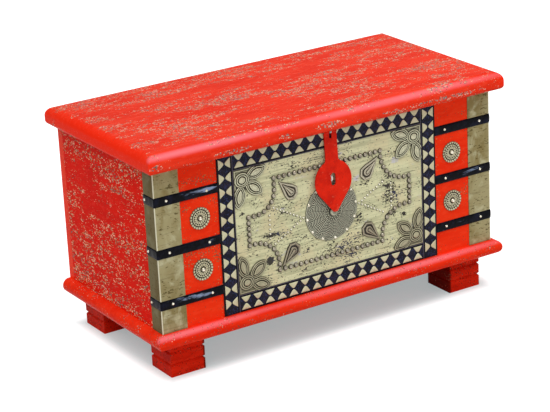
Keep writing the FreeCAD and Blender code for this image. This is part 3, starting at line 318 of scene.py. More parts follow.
    def crevice(self, reach: float) -> Socket:
        """Return 0 on open faces, rising to 1 in corners narrower than reach in metres."""
        node = self.make("AmbientOcclusion", {"Distance": reach}, samples=8)
        return self.math("SUBTRACT", 1.0, node.outputs["AO"])

    def relief(self) -> Socket:
        """Return the pressed height kept on an ornament's mesh, 0 in grooves and 1 on ridges."""
        return self.make("Attribute", {}, attribute_name="relief").outputs["Fac"]

    def bump(self, height: Socket, depth: float, strength: float) -> None:
        """Roughen the surface by a height of that depth in metres."""
        node = self.make("Bump", {"Height": height, "Distance": depth, "Strength": strength})
        self.links.new(node.outputs["Normal"], self.shader.inputs["Normal"])

    def slope(self, under: float) -> Socket:
        """Find the parts of a dome that turn away from the chest's front.

        Args:
            under: How much more the lower side counts.

        Returns:
            0 where the surface faces the front, rising as it turns away.
        """
        split = self.make("SeparateXYZ", {0: self.nodes.new("ShaderNodeTexCoord").outputs["Normal"]})
        turned = self.math("ADD", split.outputs[1], 1.0)
        return self.math("SUBTRACT", turned, self.math("MULTIPLY", split.outputs[2], under))

    def finish(self, colour: Socket | Colour, roughness: Feed, metallic: float = 0.0,
               gloss: float = 0.5) -> Material:
        """Set the shader's main sockets.

        Args:
            colour: The surface's colour.
            roughness: How far a reflection is blurred.
            metallic: Share of bare metal.
            gloss: Strength of the reflection, 0.5 for clear lacquer.

        Returns:
            The finished material.
        """
        for socket, value in (("Base Color", colour), ("Roughness", roughness), ("Metallic", metallic),
                              ("Specular IOR Level", gloss)):
            self.feed(self.shader.inputs[socket], value)
        return self.material


@dataclass(frozen=True)
class Room:
    """The space inside the box, where the wood is left bare."""

    half_length: float = 0.3626
    front: float = -0.1586
    back: float = 0.1741
    floor: float = 0.0966
    top: float = 0.4153
    wood: Colour = (176, 128, 84)
    ring: Colour = (142, 94, 56)
    pore: Colour = (96, 62, 38)

    def bare_wood(self, tree: FinishTree, paint: Socket) -> Socket:
        """Lay bare wood over the paint inside the box.

        Args:
            tree: The material being made.
            paint: The painted colour.

        Returns:
            The colour with the inside left as wood.
        """
        x, y, z = tree.axes()
        inside = tree.math("LESS_THAN", tree.math("ABSOLUTE", x), self.half_length)
        for kind, value, limit in (("GREATER_THAN", y, self.front), ("LESS_THAN", y, self.back),
                                   ("GREATER_THAN", z, self.floor), ("LESS_THAN", z, self.top)):
            inside = tree.math("MULTIPLY", inside, tree.math(kind, value, limit))
        rings = tree.noise(6.0, 5.0, 0.6, 0.6, stretch=(1.6, 14.0, 14.0))
        pores = tree.noise(1.0, stretch=(30.0, 420.0, 420.0))
        wood = tree.lay(self.wood, self.ring, rings, 0.35, 0.65)
        wood = tree.lay(wood, self.pore, pores, 0.56, 0.66, 0.6)
        return tree.blend(inside, paint, wood)


@dataclass(frozen=True)
class WornPaint:
    """Red paint rubbed back in fine flecks to a pale undercoat, tan wood and grey dirt, with painted
    highlights, painted light and painted shade laid in where set.
    """

    name: str
    grain: Grain
    sparse: float = 0.10
    dense: float = 0.40
    patch: Pair = (0.46, 0.60)
    colour: Colour = (243, 52, 22)
    deep: Colour = (234, 40, 14)
    light: Colour = (248, 64, 34)
    fleck: Colour = (236, 192, 168)
    tan: Colour = (202, 150, 112)
    dust: Colour = (128, 116, 118)
    speck: Colour = (112, 78, 62)
    specks: float = 0.70
    fleck_size: float = 320.0
    fleck_stretch: Triple = EVEN
    fleck_breadth: Pair = (0.35, 1.55)
    raggedness: float = 0.5
    roughness: float = 0.24
    gloss: float = 0.025
    rubs: tuple[Rub, ...] = ()
    # Pale pink painted highlight, and the zones along rounded front edges where it is laid.
    thin: Colour = (252, 129, 137)
    painted_highlights: tuple[Rub, ...] = ()
    # A tone that stands in for light or shade, painted over the zones that follow; the default brighter red
    # is painted light.
    shade: Colour = (255, 44, 14)
    shaded: tuple[Rub, ...] = ()
    room: Room | None = None

    def material(self) -> Material:
        """Make the paint.

        Returns:
            The material.
        """
        tree = FinishTree(self.name)
        along = self.grain.value
        drawn = tuple(stretch ** 1.25 for stretch in along)
        spread = self.fleck_stretch
        strokes = tree.noise(26.0, 4.0, 0.6, 0.3, along)
        hairs = tree.noise(150.0, 3.0, 0.6, stretch=along)
        bands = tree.noise(20.0, 3.0, 0.6, 0.3, drawn, (3.1, 1.7, 0.4))
        clumps = tree.noise(90.0, 2.0, 0.6, 0.4, along, (0.7, 4.7, 2.4))
        flecks, breadth, tint = tree.dots(self.fleck_size, spread)
        ragged = tree.noise(self.fleck_size * 1.7, 3.0, 0.65, stretch=spread)
        dark = tree.noise(self.fleck_size * 1.15, 0.5, stretch=spread, shift=(1.9, 6.1, 3.3))

        # Flecks gather where bands, clumps and rubs add up.
        thick = tree.plus(tree.math("MULTIPLY", bands, 0.5), clumps, 0.5)
        thick = tree.rubbed(thick, self.rubs)
        worn = tree.rise(thick, *self.patch, self.sparse, self.dense)
        sized = tree.math("MULTIPLY", worn, tree.rise(breadth, 0.0, 1.0, *self.fleck_breadth))
        reach = tree.math("ADD", sized, tree.swing(ragged, self.raggedness))
        mask = tree.rise(tree.math("SUBTRACT", reach, flecks), 0.0, 0.08)

        paint = tree.lay(self.colour, self.deep, strokes, 0.38, 0.66)
        paint = tree.lay(paint, self.light, hairs, 0.50, 0.72, 0.6)
        # Painted light and shade zones, then painted highlights, are laid into the paint's colour.
        for rubs, tone in ((self.shaded, self.shade), (self.painted_highlights, self.thin)):
            for rub in rubs:
                paint = tree.blend(tree.near(rub), paint, tone)
        flaked = tree.lay(self.fleck, self.tan, tint, 0.38, 0.44)
        flaked = tree.lay(flaked, self.dust, tint, 0.76, 0.80, 0.9)
        flaked = tree.lay(flaked, self.dust, thick, 0.56, 0.64, 0.6)
        colour = tree.blend(mask, paint, flaked)
        spots = tree.math("ADD", dark, tree.swing(thick, 0.5))
        colour = tree.lay(colour, self.speck, spots, self.specks, self.specks + 0.04, 0.8)
        if self.room:
            colour = self.room.bare_wood(tree, colour)

        tree.bump(tree.plus(tree.math("MULTIPLY", hairs, 0.4), mask, -0.5), 0.3 * MM, 0.35)
        shine = tree.shine(hairs, self.roughness - 0.04, self.roughness + 0.06)
        return tree.finish(colour, tree.plus(shine, mask, 0.35), gloss=self.gloss)


@dataclass(frozen=True)
class PaintedMetal:
    """Red enamel on the hasp, almost unworn."""

    name: str = "hasp_enamel"
    colour: Colour = (230, 36, 8)
    deep: Colour = (202, 25, 5)
    edge: Colour = (150, 16, 8)
    scuff: Colour = (236, 104, 78)

    def material(self) -> Material:
        """Make the enamel.

        Returns:
            The material.
        """
        tree = FinishTree(self.name)
        clouds = tree.noise(34.0, 4.0, 0.6)
        grit = tree.noise(420.0)
        drags = tree.noise(190.0, 3.0, 0.65, 0.3, (0.35, 1.0, 1.0), (0.4, 0.2, 0.9))
        colour = tree.lay(self.colour, self.deep, clouds, 0.38, 0.65)
        colour = tree.lay(colour, self.edge, grit, 0.60, 0.72, 0.6)
        colour = tree.lay(colour, self.scuff, drags, 0.62, 0.70, 0.55)
        tree.bump(grit, 0.12 * MM, 0.4)
        return tree.finish(colour, tree.shine(clouds, 0.30, 0.40), gloss=0.08)


@dataclass(frozen=True)
class AgedBrass:
    """Sheet brass on the corners: khaki and stained, with painted shade on the end faces and a painted
    highlight along the fold.
    """

    name: str = "corner_sheet_brass"
    colour: Colour = (168, 158, 117)
    dull: Colour = (138, 123, 79)
    stain: Colour = (72, 58, 24)
    pale: Colour = (198, 193, 156)
    bright: Colour = (232, 228, 200)
    end_face: float = 0.3805
    end_face_shade: float = 0.68
    fold_x: float = 0.381
    fold_y: float = -0.177

    def material(self) -> Material:
        """Make the brass.

        Returns:
            The material.
        """
        tree = FinishTree(self.name)
        clouds = tree.noise(15.0, 4.0, 0.6, 0.5, (1.0, 1.0, 0.7))
        blooms = tree.noise(34.0, 4.0, 0.62, 0.4, (1.0, 1.0, 0.8), (6.0, 2.0, 3.0))
        drawn = tree.noise(1.0, stretch=(30.0, 30.0, 260.0))
        spots = tree.noise(330.0, stretch=(0.35, 0.35, 1.0), shift=(2.0, 5.0, 1.0))
        x, y, _ = tree.axes()
        wide = tree.math("ABSOLUTE", x)
        colour = tree.lay(self.colour, self.dull, clouds, 0.42, 0.64)
        colour = tree.lay(colour, self.pale, blooms, 0.50, 0.70, 0.8)
        colour = tree.lay(colour, self.stain, drawn, 0.58, 0.72, 0.25)
        marks = tree.math("ADD", spots, tree.swing(blooms, -0.4))
        colour = tree.lay(colour, self.stain, marks, 0.63, 0.69, 0.75)
        # Painted shade: the end faces are darkened towards the stain colour.
        end = tree.math("MULTIPLY", tree.math("GREATER_THAN", wide, self.end_face), self.end_face_shade)
        colour = tree.blend(end, colour, self.stain)
        # Darker in the crevices beside straps and rosettes: partly dirt, partly painted shade.
        colour = tree.lay(colour, self.stain, tree.crevice(7 * MM), 0.12, 0.70, 0.85)
        # Painted highlight: a bright band along the corner's rounded fold.
        gap_x = tree.math("SUBTRACT", wide, self.fold_x)
        gap_y = tree.math("SUBTRACT", y, self.fold_y)
        squares = tree.math("ADD", tree.math("MULTIPLY", gap_x, gap_x), tree.math("MULTIPLY", gap_y, gap_y))
        fold = tree.rise(tree.math("SQRT", squares), 0.9 * MM, 2.2 * MM, 0.95, 0.0)
        colour = tree.blend(fold, colour, self.bright)
        tree.bump(tree.plus(clouds, drawn, 0.1), 0.8 * MM, 0.5)
        return tree.finish(colour, tree.shine(blooms, 0.36, 0.52), 0.06, 0.02)


@dataclass(frozen=True)
class BlackIron:
    """Hammered straps under glossy blue-black paint, with pale blue painted reflections on their upper
    parts.
    """

    name: str = "strap_black_iron"
    colour: Colour = (9, 9, 15)
    sheen: Colour = (22, 24, 40)
    # Pale blue of the painted reflections, and the zones on the straps where it is laid.
    scuff: Colour = (146, 164, 196)
    painted_glints: tuple[Rub, ...] = face_rubs(
        -0.178,
        (-0.290, 0.3570, 0.050, 0.008, 0.30),
        (-0.262, 0.3540, 0.022, 0.009, 0.24),
        (-0.315, 0.1560, 0.070, 0.008, 0.26),
        (-0.262, 0.2560, 0.025, 0.007, 0.12),
        (0.345, 0.2570, 0.045, 0.006, 0.12),
        (0.330, 0.1560, 0.060, 0.006, 0.10),
    )

    def material(self) -> Material:
        """Make the iron.

        Returns:
            The material.
        """
        tree = FinishTree(self.name)
        dents = tree.noise(62.0, 3.0)
        grit = tree.noise(420.0)
        glint_smears = tree.noise(70.0, 3.0, 0.65, 0.6, (0.3, 0.3, 1.6), (0.35, 0.0, 0.21))
        # Painted reflection: pale blue where the smears and the zones add up.
        rubbed = tree.rubbed(tree.plus(glint_smears, grit, 0.10), self.painted_glints)
        colour = tree.lay(self.colour, self.sheen, dents, 0.44, 0.70)
        colour = tree.lay(colour, self.scuff, rubbed, 0.70, 0.90, 0.9)
        tree.bump(tree.plus(dents, grit, 0.1), 1.0 * MM, 0.6)
        return tree.finish(colour, tree.shine(dents, 0.22, 0.34), gloss=0.05)


@dataclass(frozen=True)
class CreamSheet:
    """The front field: cream paint on thin sheet, streaked, chipped to dark dashes and lilac patches."""

    name: str = "field_cream_sheet"
    colour: Colour = (224, 222, 178)
    streak: Colour = (194, 193, 152)
    warm: Colour = (218, 204, 160)
    lilac: Colour = (202, 198, 208)
    chip: Colour = (48, 44, 36)
    blue_chip: Colour = (44, 46, 66)
    grime_and_shade: Colour = (58, 51, 34)
    rubs: tuple[Rub, ...] = ()
    pale_spots: tuple[Rub, ...] = ()

    def material(self) -> Material:
        """Make the cream sheet.

        Returns:
            The material.
        """
        tree = FinishTree(self.name)
        flow = tree.noise(1.0, 4.0, 0.65, 0.4, (7.0, 7.0, 150.0))
        clouds = tree.noise(18.0, 3.0, 0.55)
        pale = tree.noise(26.0, 4.0, 0.65, 0.5, (0.7, 1.0, 1.3), (4.0, 2.0, 7.0))
        dashes = tree.noise(460.0, 1.0, 0.5, 0.2, (0.5, 1.0, 1.0))
        lines = tree.noise(420.0, 1.0, 0.5, 0.2, (0.06, 1.0, 1.0), (1.0, 4.0, 2.0))
        upright = tree.noise(420.0, 1.0, 0.5, 0.2, (1.0, 1.0, 0.08), (5.0, 1.0, 2.0))
        gather = tree.noise(26.0, 3.0, 0.6, stretch=(0.6, 1.0, 1.3), shift=(1.0, 9.0, 3.0))
        blots = tree.noise(150.0, 2.0, 0.6, 0.2, (0.7, 1.0, 1.0), (2.0, 3.0, 6.0))

        pale = tree.rubbed(pale, self.pale_spots)
        colour = tree.lay(self.colour, self.streak, flow, 0.42, 0.62)
        colour = tree.lay(colour, self.warm, clouds, 0.46, 0.66, 0.7)
        colour = tree.lay(colour, self.lilac, pale, 0.63, 0.71, 0.8)
        weave = tree.math("MAXIMUM", tree.rise(upright, 0.58, 0.70, 0.0, 0.45),
                          tree.rise(lines, 0.58, 0.70, 0.0, 0.45))
        colour = tree.blend(weave, colour, self.streak)

        # Dashes and blots chip through where they gather and where the sheet is rubbed.
        pull = tree.rubbed(tree.swing(gather, 0.50, 0.455), self.rubs)
        chips = tree.math("MAXIMUM", tree.rise(tree.math("ADD", dashes, pull), 0.680, 0.715),
                          tree.rise(tree.math("ADD", blots, pull), 0.760, 0.790))
        dark = tree.lay(self.chip, self.blue_chip, clouds, 0.56, 0.62)
        colour = tree.lay(colour, dark, tree.math("ADD", lines, pull), 0.70, 0.76, 0.5)
        colour = tree.blend(chips, colour, dark)
        # Darker in the crevices beside nails and ornaments: partly dirt, partly painted shade standing in
        # for their shadows.
        colour = tree.lay(colour, self.grime_and_shade, tree.crevice(5 * MM), 0.06, 0.38, 0.92)
        tree.bump(tree.math("SUBTRACT", flow, chips), 0.3 * MM, 0.7)
        return tree.finish(colour, tree.shine(pale, 0.42, 0.58), gloss=0.25)


@dataclass(frozen=True)
class DarkStrip:
    """The border's blue-black ground with a dark line along each edge."""

    name: str
    run: Run
    inner_x: float = 0.213
    inner_z: float = 0.123
    middle_z: float = 0.255
    width: float = 0.034
    colour: Colour = (20, 20, 31)
    blue: Colour = (46, 54, 90)
    plum: Colour = (37, 31, 45)
    line: Colour = (96, 90, 104)
    grime_and_shade: Colour = (9, 9, 13)
    inner_black: Colour = (11, 11, 17)
    outer_black: Colour = (14, 12, 18)

    def material(self) -> Material:
        """Make the strip's ground.

        Returns:
            The material.
        """
        tree = FinishTree(self.name)
        weave = tree.noise(330.0, 2.0, 0.6)
        clouds = tree.noise(70.0, 3.0, 0.6)
        x, _, z = tree.axes()
        away, inner = (x, self.inner_x)
        if self.run is Run.LEVEL:
            away, inner = (tree.math("SUBTRACT", z, self.middle_z), self.inner_z)
        across = tree.math("SUBTRACT", tree.math("ABSOLUTE", away), inner)
        colour = tree.lay(self.colour, self.plum, clouds, 0.45, 0.62)
        colour = tree.lay(colour, self.blue, weave, 0.53, 0.64, 0.85)
        # Darker beside the raised cream shapes: partly dirt, partly painted shade.
        colour = tree.lay(colour, self.grime_and_shade, tree.crevice(2.5 * MM), 0.12, 0.5)
        colour = tree.blend(tree.rise(across, 4.4 * MM, 5.0 * MM, 1.0, 0.0), colour, self.inner_black)
        thin = tree.math("ABSOLUTE", tree.math("SUBTRACT", across, 0.9 * MM))
        colour = tree.blend(tree.rise(thin, 0.3 * MM, 0.9 * MM, 0.85, 0.0), colour, self.line)
        colour = tree.lay(colour, self.outer_black, across, self.width - 3.4 * MM, self.width - 2.8 * MM)
        tree.bump(weave, 0.35 * MM, 0.8)
        return tree.finish(colour, tree.shine(weave, 0.36, 0.55), gloss=0.08)


@dataclass(frozen=True)
class CreamTile:
    """The border's raised cream shapes."""

    name: str = "border_cream_tile"
    colour: Colour = (213, 208, 172)
    warm: Colour = (207, 193, 156)
    green: Colour = (200, 200, 156)
    dirt: Colour = (104, 92, 68)

    def material(self) -> Material:
        """Make the cream.

        Returns:
            The material.
        """
        tree = FinishTree(self.name)
        clouds = tree.noise(46.0, 3.0, 0.6)
        tints = tree.noise(34.0, shift=(3.0, 1.0, 8.0))
        grit = tree.noise(380.0, 2.0, 0.6)
        colour = tree.lay(self.colour, self.warm, clouds, 0.48, 0.66, 0.8)
        colour = tree.lay(colour, self.green, tints, 0.54, 0.68, 0.6)
        colour = tree.lay(colour, self.dirt, grit, 0.62, 0.70, 0.7)
        tree.bump(grit, 0.2 * MM, 0.6)
        return tree.finish(colour, tree.shine(clouds, 0.40, 0.55), gloss=0.25)


@dataclass(frozen=True)
class PressedMetal:
    """Pressed white-metal ornament: grey-olive with dark grooves and rubbed ridges."""

    name: str
    colour: Colour
    groove: Colour
    ridge: Colour
    verdigris: Colour
    stipple: float = 520.0
    stipple_share: float = 0.45
    metallic: float = 0.3

    def material(self) -> Material:
        """Make the metal.

        Returns:
            The material.
        """
        tree = FinishTree(self.name)
        clouds = tree.noise(60.0, 4.0, 0.6)
        grit = tree.noise(self.stipple, 2.0, 0.6)
        depth = tree.math("ADD", tree.relief(), tree.swing(clouds, 0.5))
        colour = tree.lay(self.colour, self.verdigris, clouds, 0.42, 0.62)
        colour = tree.lay(colour, self.groove, grit, 0.56, 0.68, self.stipple_share)
        colour = tree.blend(tree.rise(depth, 0.20, 0.48, 1.0, 0.0), colour, self.groove)
        colour = tree.lay(colour, self.ridge, depth, 0.58, 0.85)
        tree.bump(grit, 0.25 * MM, 0.6)
        return tree.finish(colour, tree.shine(clouds, 0.30, 0.44), self.metallic, 0.3)


@dataclass(frozen=True)
class NailMetal:
    """Domed nail heads, bright or dulled by age, darker in crevices, partly from dirt and partly as painted
    shade.
    """

    name: str
    colour: Colour
    dull: Colour
    grime_and_shade: Colour = (58, 50, 36)
    roughness: float = 0.26
    metallic: float = 0.7
    grime_and_shade_reach: float = 3.0
    painted_rim_shade: Pair | None = None

    def material(self) -> Material:
        """Make the nail metal.

        Returns:
            The material.
        """
        tree = FinishTree(self.name)
        clouds = tree.noise(150.0, 3.0, 0.6)
        grit = tree.noise(700.0)
        colour = tree.lay(self.colour, self.dull, clouds, 0.40, 0.62)
        # Darker in crevices at the base of each dome: partly dirt, partly painted shade.
        colour = tree.lay(colour, self.grime_and_shade, tree.crevice(self.grime_and_shade_reach * MM), 0.18, 0.66, 0.95)
        # Painted shade: rims and lower sides that turn away from the front are darkened.
        if self.painted_rim_shade:
            colour = tree.lay(colour, self.grime_and_shade, tree.slope(0.35), *self.painted_rim_shade, 0.92)
        tree.bump(grit, 0.15 * MM, 0.4)
        shine = tree.shine(clouds, self.roughness - 0.05, self.roughness + 0.1)
        return tree.finish(colour, shine, self.metallic)


@dataclass(frozen=True)
class DullSteel:
    """Hinges, pins and the hasp's eye."""

    name: str = "hinge_dull_steel"
    colour: Colour = (150, 148, 142)
    rust: Colour = (112, 84, 60)

    def material(self) -> Material:
        """Make the steel.

        Returns:
            The material.
        """
        tree = FinishTree(self.name)
        clouds = tree.noise(90.0, 4.0, 0.6)
        colour = tree.lay(self.colour, self.rust, clouds, 0.52, 0.68, 0.7)
        tree.bump(tree.noise(1.0, stretch=(40.0, 400.0, 400.0)), 0.1 * MM, 0.5)
        return tree.finish(colour, tree.shine(clouds, 0.30, 0.50), 0.85)


@dataclass(frozen=True)
class DowelWood:
    """Plain beech of the hidden dowels."""

    name: str = "dowel_plain_wood"
    colour: Colour = (200, 160, 112)
    ring: Colour = (168, 124, 78)

    def material(self) -> Material:
        """Make the wood.

        Returns:
            The material.
        """
        tree = FinishTree(self.name)
        rings = tree.noise(1.0, 3.0, 0.6, stretch=(60.0, 60.0, 300.0))
        tree.bump(rings, 0.2 * MM, 0.5)
        return tree.finish(tree.lay(self.colour, self.ring, rings, 0.4, 0.6), 0.6)


def dress(nodes: Sequence[str], material: Material) -> None:
    """Give CAD nodes one finish.

    Args:
        nodes: The nodes' names.
        material: The finish.
    """
    for name in nodes:
        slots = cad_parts[name].data.materials
        slots.clear()
        slots.append(material)
        LOG.info("dressed %s with %s", name, material.name)


def new_piece(name: str, points: Array, faces: list[Face], material: Material,
              body: str = "box") -> bpy.types.Object:
    """Make a smooth-shaded piece that rides on a CAD body.

    Args:
        name: The piece's name.
        points: Its corner points in metres, one row each.
        faces: Its faces as numbers of points.
        material: Its finish.
        body: The CAD body that carries it.

    Returns:
        The new object.
    """
    mesh = bpy.data.meshes.new(name)
    mesh.from_pydata(points.tolist(), [], faces)
    mesh.shade_smooth()
    mesh.materials.append(material)
    piece = bpy.data.objects.new(name, mesh)
    bpy.context.scene.collection.objects.link(piece)
    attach(piece, body)
    LOG.info("built %s, %d faces", name, len(faces))
    return piece


def keep_relief(piece: bpy.types.Object, values: Array) -> None:
    """Keep each point's pressed height, 0 in grooves to 1 on ridges, on the piece's mesh."""
    layer = piece.data.attributes.new("relief", "FLOAT", "POINT")
    layer.data.foreach_set("value", values.astype(np.float32))


def ramp(value: Array, low: float, high: float) -> Array:
    """Return a smooth step from 0 to 1 as the value goes from low to high."""
    share = np.clip((value - low) / (high - low), 0.0, 1.0)
    return share * share * (3 - 2 * share)


def bell(value: Array, middle: float, width: float) -> Array:
    """Return a round ridge of height 1 at the middle, gone at about twice the width."""
    return np.exp(-(((value - middle) / width) ** 2))


def turn_gap(angle: Array, count: int, start: float = 0.0) -> Array:
    """Return the signed turn from each angle to the nearest of so many even marks, in radians."""
    pitch = 2 * math.pi / count
    return (angle - start + pitch / 2) % pitch - pitch / 2


def spot(along: Array, across: Array, length: float, width: float) -> Array:
    """Return a round or oval bump of height 1 from the places along and across it."""
    return np.exp(-((along / length) ** 2 + (across / width) ** 2))


@dataclass(frozen=True)
class Marks:
    """A ring of even marks, pressed up or, below 0, down, with sizes in millimetres.

    A mark's width is measured round a circle whose radius is arc.
    """

    press: float
    count: int
    ring: float
    arc: float
    length: float
    width: float
    start: float = 0.0

    def heights(self, away: Array, angle: Array) -> Array:
        """Return their height at distances from the middle and angles round it."""
        gap = turn_gap(angle, self.count, self.start) * self.arc
        return self.press * spot(away - self.ring, gap, self.length, self.width)


def ring_faces(rings: int, count: int, first: int = 0) -> list[Face]:
    """Join rings of points.

    Args:
        rings: How many rings there are.
        count: How many points each has.
        first: The number of the first ring's first point.

    Returns:
        The faces between each ring and the next.
    """
    made: list[Face] = []
    for low in range(first, first + (rings - 1) * count, count):
        high = low + count
        for step in range(count):
            after = (step + 1) % count
            made.append((low + step, high + step, high + after, low + after))
    return made


def stepped_edge(angles: Array, step: float, farthest: float,
                 inside: Callable[[Array, Array], Array]) -> Array:
    """Find a shape's edge by stepping out from its middle.

    Args:
        angles: Directions from the middle, in radians.
        step: The length of a step, in millimetres.
        farthest: The distance that no step goes past.
        inside: Tells which places along the first and second axis lie in the shape.

    Returns:
        The edge's distance in each direction, in millimetres.
    """
    reach = np.arange(step, farthest, step)
    within = inside(np.outer(np.cos(angles), reach), np.outer(np.sin(angles), reach))
    within[:, -1] = False
    return reach[(~within).argmax(axis=1)]


@dataclass
class PressedPlate:
    """A pressed ornament made as a closed mesh of rings round a middle point, on the chest's front."""

    name: str
    middle: Pair
    back: float
    outline: Outline
    heights: Heights
    first_axis: Pair = (1.0, 0.0)
    second_axis: Pair = (0.0, 1.0)
    steps: int = 288
    rings: int = 48
    round_zone: float = 0.0
    round_share: float = 0.4
    even: float = 1.6
    neighbours: int = 12
    contrast: float = 0.5
    rubbed_above: float = 90.0
    rubbed_shade: float = 0.8
    middle_shade: float = 0.6
    back_shade: float = 0.3

    def radii(self, edge: Array) -> Array:
        """Lay out the rings: round near the middle, then easing into the plate's edge.

        Args:
            edge: The edge's distance at each step round, in millimetres.

        Returns:
            Each ring's distance from the middle, with one row per ring and one column per step.
        """
        shares = np.arange(1, self.rings + 1)[:, None] / self.rings
        if not self.round_zone:
            return shares * edge
        zone, share = self.round_zone, self.round_share
        outer = zone + (edge - zone) * (shares - share) / (1 - share)
        return np.where(shares <= share, zone * shares / share, outer)

    def sunk(self, first: Array, second: Array) -> Array:
        """Compare each point's height with the pressing round it.

        Args:
            first: Places along the first axis, in millimetres.
            second: Places along the second axis, in millimetres.

        Returns:
            How far each point stands above the mean of its neighbours, in millimetres.
        """
        level = np.zeros(first.shape)
        for angle in np.linspace(0, 2 * math.pi, self.neighbours, endpoint=False):
            level += self.heights(first + self.even * math.cos(angle), second + self.even * math.sin(angle))
        return self.heights(first, second) - level / self.neighbours

    def build(self, material: Material) -> bpy.types.Object:
        """Make the plate in place of the CAD node of the same name.

        Args:
            material: Its finish.

        Returns:
            The new object.
        """
        angles = np.linspace(0, 2 * math.pi, self.steps, endpoint=False)
        radii = self.radii(self.outline(angles))
        first = radii * np.cos(angles)
        second = radii * np.sin(angles)
        heights = self.heights(first, second)
        centre = float(self.heights(np.zeros(1), np.zeros(1))[0])

        flat = np.concatenate([[0.0], first.ravel(), first[-1], [0.0]])
        side = np.concatenate([[0.0], second.ravel(), second[-1], [0.0]])
        tall = np.concatenate([[centre], heights.ravel(), np.full(self.steps + 1, BACK_LEVEL)])
        points = np.zeros((len(flat), 3))
        points[:, 0] = self.middle[0] + (flat * self.first_axis[0] + side * self.second_axis[0]) * MM
        points[:, 1] = self.back - tall * MM
        points[:, 2] = self.middle[1] + (flat * self.first_axis[1] + side * self.second_axis[1]) * MM

        faces = self.faces()
        piece = new_piece(self.name + "_pressed", points, faces, material)
        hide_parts(self.name)
        shade = np.clip(0.5 + self.sunk(first, second) / (2 * self.contrast), 0.0, 1.0)
        rubbed = ramp(heights, self.rubbed_above, self.rubbed_above + 1.0)
        shade = np.maximum(shade, self.rubbed_shade * rubbed)
        back = np.full(self.steps + 1, self.back_shade)
        keep_relief(piece, np.concatenate([[self.middle_shade], shade.ravel(), back]))
        return piece

    def faces(self) -> list[Face]:
        """Join the points into the top, the rim and the flat back.

        Returns:
            The faces, all turned outwards.
        """
        count = self.steps
        last = 1 + self.rings * count
        made = ring_faces(self.rings + 1, count, 1)
        for step in range(count):
            after = (step + 1) % count
            made.append((0, 1 + step, 1 + after))
            made.append((last + count, last + after, last + step))
        turned = self.first_axis[0] * self.second_axis[1] - self.first_axis[1] * self.second_axis[0]
        if turned < 0:
            made = [face[::-1] for face in made]
        return made


@dataclass
class Lid:
    """The lid board, worn along its front edge."""

    nodes: tuple[str, ...] = ("lid_board",)

    def dress(self) -> None:
        """Paint the lid."""
        rubs = (
            Rub((0.0, -0.203, 0.437), (0.60, 0.014, 0.017), -0.15),
            Rub((-0.400, 0.0, 0.436), (0.022, 0.30, 0.030), -0.30),
            Rub((0.400, 0.0, 0.436), (0.022, 0.30, 0.030), -0.12),
            *face_rubs(
                -0.203,
                (-0.015, 0.432, 0.055, 0.010, 0.36),
                (0.25, 0.4275, 0.15, 0.004, 0.24),
                (0.13, 0.426, 0.04, 0.004, 0.26),
                (-0.22, 0.426, 0.06, 0.005, 0.28),
                (-0.11, 0.430, 0.03, 0.007, 0.28),
                (-0.385, 0.428, 0.02, 0.008, 0.24),
            ),
        )
        # Painted highlight: a pale pink band along the lid's front rounding, strongest towards the left.
        painted_highlights = (
            Rub((-0.30, -0.1975, 0.4470), (0.30, 0.012, 0.011), 0.82),
            Rub((0.15, -0.1975, 0.4470), (0.42, 0.012, 0.011), 0.70),
        )
        # Painted light: the end roundings are a brighter, purer red, as where they catch more light.
        ends = mirrored(Rub((-0.405, 0.0, 0.436), (0.036, 0.42, 0.040), 1.0))
        paint = WornPaint("lid_worn_paint", Grain.LENGTH, sparse=0.09, dense=0.45, patch=(0.45, 0.56),
                          colour=(243, 60, 35), deep=(234, 48, 24), light=(248, 72, 46),
                          fleck=(238, 184, 160), fleck_size=440.0, fleck_stretch=(0.7, 1.0, 1.0),
                          gloss=0.012, rubs=rubs, shaded=ends, painted_highlights=painted_highlights, room=Room())
        dress(self.nodes, paint.material())


